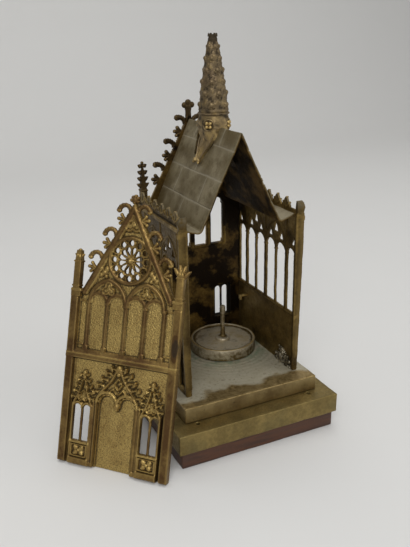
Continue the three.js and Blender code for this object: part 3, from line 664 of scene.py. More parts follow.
def niche(face, side):
    u = side * NICHE_U
    face.block(u - NICHE_HALF, u + NICHE_HALF, 0, 4.0, 4.9, 0.5, 0.55)
    face.block(u - NICHE_HALF, u + NICHE_HALF, 4.0, NICHE_SPRING + 3.4, 3.4, 0.4, 0.6)
    face.block(u - NICHE_HALF, u + NICHE_HALF, NICHE_SILL - 1.8, NICHE_SILL - 0.4, 4.9, 0.5, 0.4)
    for du in (-6.2, 6.2):
        face.roll([(u + du, 4), (u + du, NICHE_SPRING + 2)], 0.65, 4.6, 0.6)
    face.roll([(u, NICHE_SILL), (u, NICHE_SPRING + 2)], 0.5, 3.7, 0.8)
    for shift in (-1, 1):
        centre = (u + shift * 3.15, NICHE_SPRING)
        face.roll(arc(centre, 3.1, 0, 180), 0.6, 4.4, 0.35)
    square = [(u - 5, 4.9), (u + 5, 4.9), (u + 5, 11.9), (u - 5, 11.9), (u - 5, 4.9)]
    face.roll(square, 0.5, 4.4, 0.4)
    for a in (45, 135, 225, 315):
        across, up = polar(a, 1)
        x, y = u + 2.5 * across, 8.4 + 1.9 * up
        face.dome(x, y, 1.6, 4.6, 0.3)
        face.dome(x + 1.1 * across, y + 0.9 * up, 0.9, 4.7, 0.25)
    face.dome(u, 8.4, 1.0, 4.9, 0.3)
    for s in (-1, 1):
        rake = [(u + s * 5.8, NICHE_SPRING + 2.8), (u + s * 3.0, 42.6), (u + s * 0.8, 51.0)]
        face.roll(rake, (0.7, 0.55), 4.3, 0.5)
        for du, v, size in ((4.6, 39.6, 3.1), (3.5, 43.2, 2.9), (2.4, 46.8, 2.7), (1.4, 50.2, 2.5)):
            face.sprig(u + s * du, v, 90 - s * 55, size, 4.4, 0.3)
        face.sprig(u + s * 0.3, 53.4, 90 - s * 50, 2.3, 4.4, 0.3)
    face.trefoil(u, 41.0, 4.2, 4.1, 0.35)
    face.dome(u, NICHE_TOP - 1.6, 1.3, 4.5, 0.3)
    face.dome(u, 52.6, 1.1, 4.3, 0.3)


def gable_front(plate):
    """All the mouldings and carving on the outer face."""
    face = plate.front
    lower = plate.v < STRING_LOW
    face.height[lower] = 2.2
    door(face)
    for side in (-1, 1):
        niche(face, side)
        inner, outer = side * (GABLE_HALF - PIER_WIDTH), side * GABLE_HALF
        face.block(inner, outer, 0, PIER_TOP, PIER_OUT, 0.8, 0.8)
        face.roll([(inner - side * 0.5, 0), (inner - side * 0.5, PIER_TOP)], 0.5, 3.0, 0.5)
        slot = [side * (GABLE_HALF - PIER_WIDTH - 1.35), side * (NICHE_U + NICHE_HALF + 0.2)]
        gap = np.maximum(abs(plate.u - sum(slot) / 2) - 0.45, plate.v - NICHE_SPRING - 4)
        face.sink(gap, 0.9, 1.0)
        face.block(side * 29.5, side * (GABLE_HALF + 0.3), CAP_LOW, CAP_HIGH - 1.6, CAP_OUT - 0.3, 0.7, 0.65)
        face.roll([(side * 29.9, CAP_HIGH - 1), (side * GABLE_HALF, CAP_HIGH - 1)], 1.0, CAP_OUT, 0.5)
    upper_storey(face)
    top_slope = np.clip((STRING_HIGH - plate.v) / (STRING_HIGH - 66.0), 0, 1)
    band = (plate.v >= 65.4) & (plate.v <= STRING_HIGH)
    sloped = 2.9 + top_slope * (STRING_OUT - 0.4 - 2.9)
    raised = band & (sloped > face.height)
    face.height[raised] = sloped[raised]
    face.tone[band] = 0.7
    face.roll([(-GABLE_HALF, 64.7), (GABLE_HALF, 64.7)], 1.15, STRING_OUT, 0.75)
    face.roll([(-GABLE_HALF, 66.4), (GABLE_HALF, 66.4)], 0.5, STRING_OUT - 0.2, 0.35)
    smudge = np.hypot((plate.u - GABLE_HALF + 2.2) / 2.6, (plate.v - 78) / 7.0)
    face.tone += 2.2 * np.clip(1.2 - smudge, 0, 1)
    ground = face.height < 2.45
    face.punch(ground, 0.1, 11)
    face.punch(~ground, 0.035, 12)
    lumps = waves(np.stack([plate.u, plate.v], -1), 9.0, 5)
    face.height += 0.03 * lumps


def hollow_niches(plate):
    """Behind its lights, each niche is hollow, so that its bars stay thin."""
    for side in (-1, 1):
        across = abs(plate.u - side * NICHE_U) < NICHE_HALF - 0.7
        pocket = across & (plate.v > NICHE_SILL - 1) & (plate.v < NICHE_SPRING + 3.1)
        plate.back.height[pocket] = -2.3


def west_front():
    plate = gable_plate(0.46, NICHE_LIGHT - 0.3)
    gable_front(plate)
    hollow_niches(plate)
    plate.back.punch(plate.v > 0, 0.02, 14)
    turn = radians(PANEL_TURN)
    place = standing(
        PANEL_TURN, PANEL_CORNER[0] + GABLE_HALF * math.cos(turn),
        PANEL_CORNER[1] + GABLE_HALF * math.sin(turn), 0, PANEL_LEAN,
    )
    wall = plate.mesh("west_front", place)
    art = Sculpture()
    gable_crockets(art, 10.6, 160, 1.12)
    pin = GABLE_HALF - 2.9
    pinnacle(art, -pin, 121.5, 127.4, 1.5)
    pinnacle(art, pin, 118.5, 122.0, 1.6)
    for lean, foot in ((-34, 119.0), (-11, 120.0), (13, 119.6), (36, 118.2)):
        for w in (1.8, 3.3):
            thorn(art, (pin + lean * 0.04, foot), 90 - lean, 5.6, w, 0.7, 1.0)
    art.ball((0, GABLE_APEX + 1.2, 2.4), (2.6, 2.3, 2.2), 0.9)
    for turn in range(20, 380, 60):
        across, up = polar(turn, 1)
        centre = (2.0 * across, GABLE_APEX + 1.5 + 1.7 * up, 2.6 + 0.5 * math.sin(2 * radians(turn)))
        art.ball(centre, (1.35, 1.2, 1.5), 0.8)
    return wall, art.mesh("west_front_foliage", place)


def rear_wall():
    plate = gable_plate(0.6, NICHE_LIGHT - 1.0)
    for place in (-1.5, -0.5, 0.5, 1.5):
        u = place * ARCADE_PITCH
        plate.pierce(lancet_gap(plate.u, plate.v, u, STRING_HIGH, ARCADE_SPRING, ARCADE_LIGHT))
    for side in (-1, 1):
        u = side * ARCADE_PITCH
        for du, v, r in ((0, 104.6, 1.9), (-3.4, 108.4, 1.3), (3.4, 108.4, 1.3)):
            plate.pierce(np.hypot(plate.u - u - du, plate.v - v) - r)
    gable_front(plate)
    inner = plate.back
    for place in (-2, -1, 0, 1, 2):
        u = place * ARCADE_PITCH
        inner.roll([(u, STRING_HIGH), (u, ARCADE_SPRING)], 1.0, 0.7, 0.7)
    reach = 2 * ARCADE_PITCH
    inner.roll([(-reach, STRING_HIGH - 1), (reach, STRING_HIGH - 1)], 0.7, 0.5, 0.7)
    inner.height += 0.12 * waves(np.stack([plate.u, plate.v], -1), 14.0, 8)
    hollow_niches(plate)
    place = standing(180, 0, REAR_FACE, FLOOR)
    wall = plate.mesh("rear_gable", place)
    art = Sculpture()
    gable_crockets(art, 7.8, 95, 1.3)
    pin = GABLE_HALF - 2.9
    pinnacle(art, pin, 113, 130.4, 0.4, 1.2)
    pinnacle(art, -pin, 110, 113.6, 1.7)
    stem = [(0, v, 2.1) for v in (GABLE_APEX - 5, GABLE_APEX + 2, GABLE_APEX + 5)]
    art.sweep(stem, (2.3, 2.0, 2.7), 1.3, tone=0.9)
    for u, v, r in ((0, 165.8, 2.2), (-2.5, 164.4, 2.0), (2.5, 164.4, 2.0), (0, 163.0, 2.6)):
        art.ball((u, v, 2.1), (r, r, 1.25), 0.7)
    return wall, art.mesh("rear_gable_foliage", place)


# ---------------------------------------------------------------- side walls


def side_wall(name, front):
    """front is +1 for the left wall and -1 for the right one: the sign of U towards the open end."""
    front_edge, back_edge = front * -NAVE_FRONT, -front * NAVE_BACK
    u0, u1 = min(front_edge, back_edge), max(front_edge, back_edge)
    plate = Plate(u0, u1, FLOOR, 148.0, 0.5)
    u, v = plate.u, plate.v
    middle = -front * SIDE_MIDDLE
    bay = 2 * SIDE_LIGHT + SIDE_MULLION + SIDE_GAP
    plate.gap = np.maximum(v - SIDE_TOP, np.maximum(u0 - u, u - u1))
    pitch, pier = 10.6, 2.4
    leaves = int((u1 - u0 - 2 * pier) / pitch)
    centres = [(u0 + u1) / 2 - front + (k - (leaves - 1) / 2) * pitch for k in range(leaves)]
    for c in centres:
        half = [(4.7, -1), (4.4, 1.0), (3.4, 2.0), (3.5, 3.2), (2.3, 3.0), (1.5, 4.4)]
        leaf = [(c + du, SIDE_TOP + dv) for du, dv in half] + [(c - 0.2, SIDE_LEAF_TOP)]
        plate.add(polygon_gap(u, v, leaf + [(c - du, SIDE_TOP + dv) for du, dv in half[::-1]]))
    pier_inner = front_edge - front * pier
    p0, p1 = min(front_edge, pier_inner), max(front_edge, pier_inner)
    broken = [
        (p0, 130), (p1, 130), (p1, 143.5), (p1 - 0.7, 147.6), ((p0 + p1) / 2, 145.8), (p0 + 0.6, 146.8),
        (p0, 142),
    ]
    plate.add(polygon_gap(u, v, broken))

    front_face, inner = Face(plate, SIDE_THICK, 0.85), Face(plate, 0, 0.5)
    plate.front, plate.back = front_face, inner
    lights = []
    for side in (-1, 1):
        first = SIDE_GAP / 2 + SIDE_LIGHT / 2
        second = first + SIDE_LIGHT + SIDE_MULLION
        last = second + SIDE_LIGHT / 2 + SIDE_GAP + SIDE_HALF_LIGHT / 2
        lights += [(middle + side * at, SIDE_LIGHT, SIDE_SPRING) for at in (first, second)]
        lights.append((middle + side * last, SIDE_HALF_LIGHT, SIDE_SPRING + 1))
    for c, width, spring in lights:
        plate.pierce(lancet_gap(u, v, c, SIDE_SILL, spring, width))
        for face, base in ((front_face, SIDE_THICK + 0.3), (inner, 0.25)):
            for du in (-width / 2 - 0.6, width / 2 + 0.6):
                face.roll([(c + du, SIDE_SILL - 1), (c + du, spring)], 0.6, base, 0.75)
                face.block(c + du - 0.8, c + du + 0.8, spring - 0.8, spring + 0.4, base + 0.2, 0.3, 0.6)
            face.roll(arc((c, spring), width / 2 + 0.6, 0, 180), 0.55, base, 0.6)
    for side in (-1, 1):
        c = middle + side * bay / 2
        for du, dv, half, tall in ((0, 11.4, 2.9, 7.4), (-6.4, 7.4, 2.7, 5.6), (6.4, 7.4, 2.7, 5.6)):
            foot = SIDE_SPRING + dv
            shape = ((-1, 0), (1, 0), (0.55, 0.5), (0, 1), (-0.55, 0.5))
            plate.pierce(polygon_gap(u, v, [(c + du + a * half, foot + b * tall) for a, b in shape]))
        for face, base in ((front_face, SIDE_THICK + 0.5), (inner, 0.35)):
            face.roll(pointed_arch(c, SIDE_SPRING + 1, bay / 2, 1.4), 0.7, base, 0.6)
        edge = middle + side * (bay + SIDE_GAP / 2 + SIDE_HALF_LIGHT)
        eyelet = [(edge, SIDE_SPRING + 7.4), (edge, SIDE_SPRING + 15), (edge - side * 4.2, SIDE_SPRING + 7.4)]
        plate.pierce(polygon_gap(u, v, eyelet))
    for place in (-1, 0, 1):
        c = middle + place * bay
        front_face.block(c - 1.8, c + 1.8, FLOOR, SIDE_SILL - 2, SIDE_THICK + 1.9, 0.5, 0.55)
        for face, base in ((front_face, SIDE_THICK + 0.6), (inner, 0.4)):
            face.roll([(c, SIDE_SILL), (c, SIDE_TOP - 4)], 0.8, base, 0.6)
    strings = (
        (FLOOR, FLOOR + 4, 3.2),
        (SIDE_SILL - 3.4, SIDE_SILL - 1.2, 2.6),
        (SIDE_TOP - 5.4, SIDE_TOP - 2.6, 3.0),
    )
    for v0, v1, top in strings:
        front_face.block(u0, u1, v0, v1, top, 0.6, 0.5)
    inner.roll([(u0, SIDE_SILL - 1.0), (u1, SIDE_SILL - 1.0)], 0.7, 0.6, 0.4)
    inner.roll([(u0, SIDE_TOP - 3), (u1, SIDE_TOP - 3)], 0.8, 0.6, 0.5)
    front_face.block(p0, p1, FLOOR, 139, 5.2, 0.6, 1.0)
    pier_zone = (u >= p0) & (u <= p1) & (v < 139)
    narrowing = 2.0 * np.clip((120 - v) / (120 - FLOOR), 0, 1)
    front_face.height[pier_zone] -= narrowing[pier_zone]
    front_face.block(p0, p1, 134, 137, 5.6, 0.4, 0.4)
    cap_zone = (u >= p0) & (u <= p1) & (v >= 139)
    splay = np.interp(v, (139, 142.5, 145.0, 147.6), (4.4, 5.5, 4.6, 2.8))
    front_face.height[cap_zone] = splay[cap_zone]
    front_face.tone[cap_zone] = inner.tone[cap_zone] = 0.95
    inner.block(p0, p1, FLOOR, 139, 0.6, 0.4, 0.95)
    for c in centres:
        for face, top in ((front_face, SIDE_THICK + 0.6), (inner, 0.4)):
            stem = [(c, SIDE_TOP), (c, SIDE_TOP + 2.5), (c - 0.2, SIDE_LEAF_TOP - 0.6)]
            face.roll(stem, (0.7, 0.3), top, 0.3)
            for s in (-1, 1):
                lobe = [(c + s * du, SIDE_TOP + dv) for du, dv in ((0.4, 0), (2.6, 1.2), (3.2, 2.6))]
                face.roll(lobe, (0.4, 0.6), top, 0.3)
    lumps = waves(np.stack([u, v], -1), 11.0, 21)
    front_face.height += 0.08 * lumps
    inner.height -= 0.08 * lumps
    front_face.punch(v > 0, 0.05, 22)
    inner.punch(v > 0, 0.05, 23)
    turn, x = (-90, -INNER) if front > 0 else (90, INNER)
    return plate.mesh(name, standing(turn, x, 0, 0))


def fixings():
    """The bent lug and the lump of old solder on the right wall's inner face."""
    lug = Sculpture()
    lug.block((31.8, 25.5, 63.4), (36.4, 28.5, 64.7), 0.4, 0.0)
    lug.block((30.7, 25.5, 61.0), (32.0, 28.5, 64.7), 0.4, 0.0)
    lug.ball((33.6, 27.0, 64.8), (0.9, 0.9, 0.4), 0.1)
    solder = Sculpture()
    rng = np.random.default_rng(31)
    runs = (
        (-22, 37.4, 4.4), (-27, 36.8, 4.2), (-18.2, 36.0, 3.0), (-24.4, 41.0, 3.4), (-31, 35.8, 2.8),
        (-21, 43.0, 2.2),
    )
    for y, z, r in runs:
        for _ in range(16):
            dy, dz = rng.uniform(-1, 1, 2) * r * 0.8
            size = r * rng.uniform(0.22, 0.42, 3)
            at = (36.2 - r * 0.2 * rng.uniform(0, 1), y + dy, max(z + dz, FLOOR + 0.6))
            solder.ball(at, size, rng.uniform(0, 1.3))
    return lug.mesh("wall_lug", upright), solder.mesh("solder_lump", upright, 80)


# ---------------------------------------------------------------- roof


def roof_section():
    """Upper line of the folded sheet across the nave, with softened folds: length, X, Z and normals."""
    slope = [(-INNER, GUTTER_Z), (-EAVE, EAVE_Z), (0, RIDGE)]
    corners = np.array(slope + [(-x, z) for x, z in slope[1::-1]])
    runs = np.linalg.norm(np.diff(corners, axis=0), axis=1)
    ends = np.concatenate([[0], np.cumsum(runs)])
    s = np.linspace(0, ends[-1], 1200)
    line = np.stack([np.interp(s, ends, corners[:, k]) for k in (0, 1)], 1)
    width = 33  # of the running mean, which rounds the folds
    for k in (0, 1):
        padded = np.pad(line[:, k], width // 2, "reflect", reflect_type="odd")
        line[:, k] = np.convolve(padded, np.ones(width) / width, "valid")
    tangent = np.gradient(line, axis=0)
    tangent /= np.linalg.norm(tangent, axis=1, keepdims=True)
    normal = np.stack([-tangent[:, 1], tangent[:, 0]], 1)
    return s - ends[2], line, normal, runs[1]


def roof():
    s, line, normal, slope_run = roof_section()
    plate = Plate(roof_low[1], roof_high[1], s[0], s[-1], 0.5)
    y, down = plate.u, plate.v
    slot = [
        (SPIRE_Y - 11.0, -6), (SPIRE_Y + 20, -6), (SPIRE_Y + 20, 1),
        (SPIRE_Y + 10, 20.5), (SPIRE_Y + 2, 22), (SPIRE_Y - 2.6, 22), (SPIRE_Y - 8.6, 12.6),
        (SPIRE_Y - 10.6, 0),
    ]
    past_ends = np.maximum(roof_low[1] - y, y - roof_high[1])
    plate.gap = np.maximum(past_ends, np.maximum(s[0] - down, down - s[-1]))
    plate.pierce(polygon_gap(y, abs(down), slot))
    notch = np.maximum(abs(y - roof_low[1]) - 1.0, abs(down - 34) - 1.2)
    plate.pierce(notch)
    plate.front, plate.back = Face(plate, 0, 0.0), Face(plate, SHEET, -2.0)
    courses = (11.8, 30.0, 46.8)
    joints = ((-16.5, 19.5), (0.4,), (-17.5, 18.0), (0.4,))
    rows = (0.0, *courses, slope_run - 1)
    engraved = np.full(y.shape, 9.0)
    for k, row in enumerate(courses):
        wander = 0.12 * np.sin(y * 0.13 + k) + 0.05 * np.sin(y * 0.7 + 2 * k)
        engraved = np.minimum(engraved, abs(abs(down) - row - wander))
    for k, places in enumerate(joints):
        for place in places:
            along = np.maximum(rows[k] - abs(down), abs(down) - rows[k + 1])
            wander = place + SPIRE_Y + 0.02 * (abs(down) - rows[k])
            engraved = np.minimum(engraved, np.maximum(abs(y - wander), along))
    groove = np.clip(1.35 - engraved / 0.38, 0, 1)
    plate.front.height -= 0.3 * groove
    plate.front.tone = np.maximum(groove, 0.24 * np.exp(-engraved / 1.8))
    gutter = abs(down) > slope_run
    plate.front.tone[gutter] = 0.45
    lumps = waves(np.stack([y, down], -1), 26.0, 41)
    plate.front.height += 0.12 * lumps
    plate.back.height -= 0.12 * lumps

    def place(points):
        x, z = (
            np.interp(points[:, 1], s, line[:, k]) + points[:, 2] * np.interp(points[:, 1], s, normal[:, k])
            for k in (0, 1)
        )
        return np.stack([x, points[:, 0], z], 1) * MM

    return plate.mesh("roof_sheet", place)


# ---------------------------------------------------------------- spire


DRUM_DIAGONALS = (45, 135, 225, 315)
ROSETTE_Z = RIDGE + 0.4


def facing(turn):
    """Unit vectors out from the spire's axis and along its side, turn degrees round from X."""
    across, along = polar(turn, 1)
    return np.array([across, along, 0]), np.array([-along, across, 0])


def spire_radius(z):
    heights = [RIDGE - 9, RIDGE + 1, SPIRE_RING - 1.8, SPIRE_RING]
    radii = [10.4, 9.6, 8.7, 8.7]
    for share, r in ((0.27, 7.5), (0.62, 5.2), (1.0, 2.0)):
        heights.append(SPIRE_RING + share * (SPIRE_TOP - SPIRE_RING))
        radii.append(r)
    return np.interp(z, heights, radii)


def spire_core():
    """The hollow-cast spire: flared eight-sided drum, double ring, swelling cone and broken crown."""
    sides = 96
    zs = np.arange(RIDGE - 9, SPIRE_TOP + 0.01, 0.55)
    a = np.arange(sides) * 2 * math.pi / sides
    zz, aa = np.meshgrid(zs, a, indexing="ij")
    r = spire_radius(zz)
    facet = np.cos(math.pi / 8) / np.cos((aa + math.pi / 8) % (math.pi / 4) - math.pi / 8)
    eight = np.clip((SPIRE_RING - 2 - zz) / 5, 0, 1)
    r = r * (1 + eight * (facet * 1.04 - 1))
    bands = (
        (SPIRE_RING - 0.9, 0.9, 0.8), (SPIRE_RING + 0.9, 0.5, 0.8), (SPIRE_TOP - 3.4, 0.2, 0.7),
        (SPIRE_TOP - 1.0, 0.6, 1.2),
    )
    for z, size, half in bands:
        swell = float(spire_radius(z)) + size * np.sqrt(np.maximum(1 - ((zz - z) / half) ** 2, 0))
        r = np.where(abs(zz - z) < half, np.maximum(r, swell), r)
    narrow = 1 - 0.32 * np.clip((RIDGE + 1 - zz) / 10, 0, 1)
    points = np.stack([r * np.cos(aa), SPIRE_Y + r * np.sin(aa), zz], -1)
    body = (zz > SPIRE_RING + 2) & (zz < SPIRE_TOP - 4)
    bumps = waves(points, 1.5, 51, 16) * 0.13 * body + waves(points, 5.0, 52) * 0.16
    r = r + bumps
    teeth = (zz > SPIRE_TOP - 1.2) & (np.cos(aa * 8 + 0.5) < -0.1)
    zz = np.where(teeth, zz - 1.1, zz)
    points = np.stack([narrow * r * np.cos(aa), SPIRE_Y + r * np.sin(aa), zz], -1).reshape(-1, 3)
    n = len(zs)
    faces = grid_quads(n, sides)
    top = (n - 1) * sides
    faces.append([top + s for s in range(sides)])
    tone = np.where(zz < SPIRE_RING - 2, 0.45, np.where(zz > SPIRE_TOP - 4, 1.2, 0.75)).reshape(-1)
    # cavity for the shader: knobs get painted highlight and the dips between them painted shade, partly wear
    # and dirt.
    cavity = np.clip(bumps * 2.5, -1, 1)
    # The round field behind each rosette and the crown are darkened: painted shade, partly dirt.
    for turn in DRUM_DIAGONALS:
        away = aa - radians(turn)
        rosette = np.hypot(r * np.sin(away), zz - ROSETTE_Z)
        cavity = np.where((rosette < 3.1) & (np.cos(away) > 0), -0.9, cavity)
    cavity = np.where(zz > SPIRE_TOP - 4.5, -0.45, cavity).reshape(-1)
    return make_mesh("spire_body", points * MM, faces, tone, cavity, 60)


def spire_details():
    art = Sculpture()
    tiers = 6
    rise = (SPIRE_TOP - 5 - SPIRE_RING) / tiers
    for tier in range(tiers):
        z = SPIRE_RING + rise * (tier + 0.65)
        wall = float(spire_radius(z)) + 0.1
        size = 0.85 + 0.1 * wall
        for k in range(5):
            out, side = facing(72 * k + (36 if tier % 2 else 0) + 20)
            at = np.array([0, SPIRE_Y, z]) + out * wall
            stalk = [at - (0, 0, 2.6 * size) - out * 0.3, at - (0, 0, size) - out * 0.2, at - out * 0.2]
            art.sweep(stalk, (0.35 * size, 0.5 * size, 0.7 * size), 0.5 * size, 7, 0.9)
            art.ball(at - out * 0.55 * size, (1.35 * size, 1.35 * size, 1.15 * size), 0.8)
            for s in (-1, 1):
                lobe = at + side * s * 0.75 * size - (0, 0, 0.7 * size) - out * 0.35 * size
                art.ball(lobe, 0.7 * size, 0.9)
    # Quatrefoil rosettes on the drum's diagonal faces.
    for diagonal in DRUM_DIAGONALS:
        out, side = facing(diagonal)
        centre = np.array([0, SPIRE_Y, ROSETTE_Z]) + out * 9.5
        up = np.array([0, 0, 1])
        for turn in DRUM_DIAGONALS:
            across, rise = polar(turn, 1.5)
            art.ball(centre + side * across + up * rise - out * 0.1, 1.15, -0.2)
        art.ball(centre + out * 0.1, 0.5, 1.0)
        rim = [centre - out * 0.4 + side * x + up * y for x, y in arc((0, 0), 3.3, 0, 360, 16)]
        art.sweep(rim, 0.4, 0.4, 6, 0.6)
    return art


def tongue(art, side):
    """The saddle's tongue down one slope: a tapering plate with ribs, ending in two scrolls."""
    slope = math.atan2(RIDGE - EAVE_Z, EAVE)
    down = np.array([side * math.cos(slope), 0, -math.sin(slope)])
    out = np.array([side * math.sin(slope), 0, math.cos(slope)])
    top = np.array([0, SPIRE_Y, RIDGE])
    at = lambda run, y, lift: top + down * run + np.array([0, y, 0]) + out * lift
    rows = ((-3, 9.0), (4, 8.8), (8, 8.2), (12.4, 7.2), (16, 5.4), (19, 3.9), (21.5, 2.9), (24, 2.4))
    points = []
    across = np.linspace(-1, 1, 9)
    for run, half in rows:
        for t in across:
            lift = 2.0 - 0.9 * t * t + (1.2 if abs(t) < 0.1 else 0.0)
            points.append(at(run, half * t, lift))
    n, m = len(rows), len(across)
    faces = [quad if side > 0 else quad[::-1] for quad in grid_quads(n, m, closed=False)]
    base = len(points)
    points += [p - out * 1.6 for p in points]
    faces += [[k + base for k in face][::-1] for face in faces]
    index = np.arange(n * m).reshape(n, m)
    border = [*index[0], *index[1:, -1], *index[-1, -2::-1], *index[-2:0:-1, 0]]
    for a, b in zip(border, border[1:] + border[:1]):
        quad = [b, a, a + base, b + base]
        faces.append(quad if side > 0 else quad[::-1])
    art._add(points, faces, 0.4)
    # A dark sheet under the slot, painted shade: it stands for the deep shadow seen through the slot, and its
    # tone of 3 takes the soot colour.
    corners = [(4, -12), (26, -12), (26, 17), (4, 22)]
    sheet = [at(run, y, lift) for lift in (-3.4, -2.8) for run, y in corners]
    shade_sheet_faces = [[3, 2, 1, 0], [4, 5, 6, 7], [0, 1, 5, 4], [1, 2, 6, 5], [2, 3, 7, 6], [3, 0, 4, 7]]
    art._add(sheet, [face if side > 0 else face[::-1] for face in shade_sheet_faces], 3.0)
    for s in (-1, 1):
        art.sweep([at(run, s * half * 0.95, 1.5) for run, half in rows[1:]], 0.5, 0.6, 7, 0.75)
        centre = at(23.6, s * 2.3, 1.6)
        art.ball(centre, (1.4, 1.5, 1.4), 0.3)
        art.ball(centre + down * 1.2 + np.array([0, s * 0.9, 0]), 0.9, 0.1)
    middle = [at(run, 0, 2.5 if run < 20 else 2.0) for run in (3, 8, 13, 18, 23)]
    art.sweep(middle, (0.9, 0.8, 0.7, 0.6, 0.5), 0.7, 7, 0.5)


# ---------------------------------------------------------------- base, disc and spindle


def worn_block(name, low, high, edge, wear, seed):
    """A block with rounded, slightly uneven faces and edges, which never bulge past its box."""
    points, faces = rounded_box(low, high, edge, 2.2)
    away = points - (low + high) / 2
    inward = -np.sign(away) * (abs(away) > (high - low) / 2 - edge * 1.01)
    for depth, size, draw in ((wear, 17.0, seed), (wear * 0.4, 4.0, seed + 1)):
        points = points + inward * depth * np.clip(0.5 + 0.5 * waves(points, size, draw), 0, None)[:, None]
    return make_mesh(name, points * MM, faces, [0.5] * len(points), [0.0] * len(points), 60)


def plinth():
    block = worn_block("plinth_block", plinth_low, plinth_high, 0.6, 0.12, 61)
    for x in (-PIN_X, PIN_X):
        bpy.ops.mesh.primitive_cylinder_add(
            vertices=24, radius=PIN_RADIUS * MM, depth=2 * PIN_DEPTH * MM,
            location=(x * MM, PIN_Y * MM, plinth_high[2] * MM),
        )
        cutter = bpy.context.object
        cut = block.modifiers.new("pin_hole", "BOOLEAN")
        cut.operation, cut.solver, cut.object = "DIFFERENCE", "EXACT", cutter
        bpy.context.view_layer.update()
        evaluated = block.evaluated_get(bpy.context.evaluated_depsgraph_get())
        drilled = bpy.data.meshes.new_from_object(evaluated)
        block.modifiers.clear()
        block.data = drilled
        bpy.data.objects.remove(cutter)
    return block


def lathe(name, profile, centre, sides, tone, wobble=0.0):
    """A turned piece from (radius, height) points, its heights uneven by wobble."""
    a = np.arange(sides) * 2 * math.pi / sides
    profile = np.array(profile, float)
    points = np.array([(r * math.cos(t), r * math.sin(t), z) for r, z in profile for t in a])
    points[:, 2] += wobble * waves(points[:, :2], 9.0, 71)
    n = len(profile)
    faces = grid_quads(n, sides)
    faces += [list(range(sides))[::-1], [(n - 1) * sides + s for s in range(sides)]]
    tones = np.repeat(tone, sides)
    return make_mesh(name, (points + centre) * MM, faces, tones, [0.0] * len(points), 40)


def stand_disc():
    radius, height = (disc_high - disc_low)[0] / 2, 8.2
    profile = [(0.05, 0)]
    profile += [(radius - a, z) for a, z in ((0.6, 0), (0, 0.5), (0.15, 2.4), (0, 4.2), (0, height - 0.5))]
    lip = ((0.15, 0.1), (0.5, 0), (1.2, 0), (1.6, 0.3), (1.9, 1.1))
    profile += [(radius - a, height - b) for a, b in lip]
    # Tones along the profile: the side grows darker towards its foot, painted shade by the floor.
    tone = [1.0, 1.0, 0.9, 0.75, 0.8, 0.6, 0.0, 0.0, 0.2, 0.7, 1.1]
    for r in np.arange(radius - 3, 0.5, -1.2):
        profile.append((r, height - 1.1 + 0.08 * math.sin(r * 2.4)))
        tone.append(0.8 if r > radius - 3.5 else 0.42)
    profile.append((0.05, height - 1.1))
    tone.append(0.42)
    return lathe("disc_turned", profile, (DISC_X, DISC_Y, FLOOR), 96, tone, 0.03)


def spindle():
    collar = [(0.05, 0), (5.4, 0), (5.5, 0.6), (5.2, 1.2), (4.6, 1.6), (3.6, 1.7), (2.6, 1.9), (2.0, 2.6)]
    shaft = [(1.6, 3.6), (1.5, 9), (1.62, 9.4), (1.62, 10), (1.5, 10.4), (1.5, 18.6)]
    knob = [(1.9, 19.4), (2.05, 20.4), (2.0, 23.6), (1.6, 24.4), (0.05, 24.5)]
    tone = [0.5] * 6 + [0.8] * 8 + [0.7] * 5
    return lathe("spindle_turned", collar + shaft + knob, (DISC_X, DISC_Y, FLOOR + 7.1), 40, tone)


# ---------------------------------------------------------------- materials


class Shader:
    """A short way to write node trees."""

    def __init__(self, name):
        self.material = bpy.data.materials.new(name)
        self.material.use_nodes = True
        self.tree = self.material.node_tree
        self.surface = self.tree.nodes["Principled BSDF"]
        self.place = self.add("ShaderNodeTexCoord").outputs["Object"]

    def add(self, kind, inputs=None, **settings):
        node = self.tree.nodes.new(kind)
        for key, value in settings.items():
            setattr(node, key, value)
        for key, value in (inputs or {}).items():
            self.put(node.inputs[key], value)
        return node

    def put(self, socket, value):
        if isinstance(value, bpy.types.NodeSocket):
            self.tree.links.new(value, socket)
        elif isinstance(value, tuple) and len(value) == 3 and socket.type == "RGBA":
            socket.default_value = (*value, 1)
        else:
            socket.default_value = value

    def noise(self, size, detail=4.0, rough=0.55, stretch=None):
        """Noise with features about size millimetres across."""
        vector = self.place
        if stretch:
            vector = self.add("ShaderNodeMapping", {"Vector": vector, "Scale": stretch}).outputs[0]
        settings = {"Vector": vector, "Scale": 1000 / size, "Detail": detail, "Roughness": rough}
        return self.add("ShaderNodeTexNoise", settings).outputs["Fac"]

    def cells(self, size):
        """Distance to the nearest of scattered points about size millimetres apart."""
        settings = {"Vector": self.place, "Scale": 1000 / size}
        return self.add("ShaderNodeTexVoronoi", settings).outputs["Distance"]

    def layer(self, name):
        return self.add("ShaderNodeAttribute", attribute_name=name).outputs["Fac"]

    def remap(self, value, low, high, to_low=0.0, to_high=1.0):
        ends = {"From Min": low, "From Max": high, "To Min": to_low, "To Max": to_high}
        return self.add("ShaderNodeMapRange", {"Value": value, **ends}).outputs[0]

    def math(self, kind, a, b=0.0):
        return self.add("ShaderNodeMath", {0: a, 1: b}, operation=kind).outputs[0]

    def mix(self, share, a, b):
        node = self.add("ShaderNodeMix", data_type="RGBA")
        self.put(node.inputs["Factor"], share)
        for label, value in (("A", a), ("B", b)):
            socket = next(s for s in node.inputs if s.name == label and s.type == "RGBA")
            self.put(socket, value)
        return next(s for s in node.outputs if s.type == "RGBA")

    def axis(self, name):
        return self.add("ShaderNodeSeparateXYZ", {0: self.place}).outputs[name]

    def bump(self, height, distance, below=None):
        node = self.add("ShaderNodeBump", {"Height": height, "Distance": distance * MM})
        if below is not None:
            self.put(node.inputs["Normal"], below)
        return node.outputs[0]

    def finish(self, colour, rough, metal, normal=None):
        looks = {"Base Color": colour, "Roughness": rough, "Metallic": metal, "Normal": normal}
        for name, value in looks.items():
            if value is not None:
                self.put(self.surface.inputs[name], value)
        return self.material


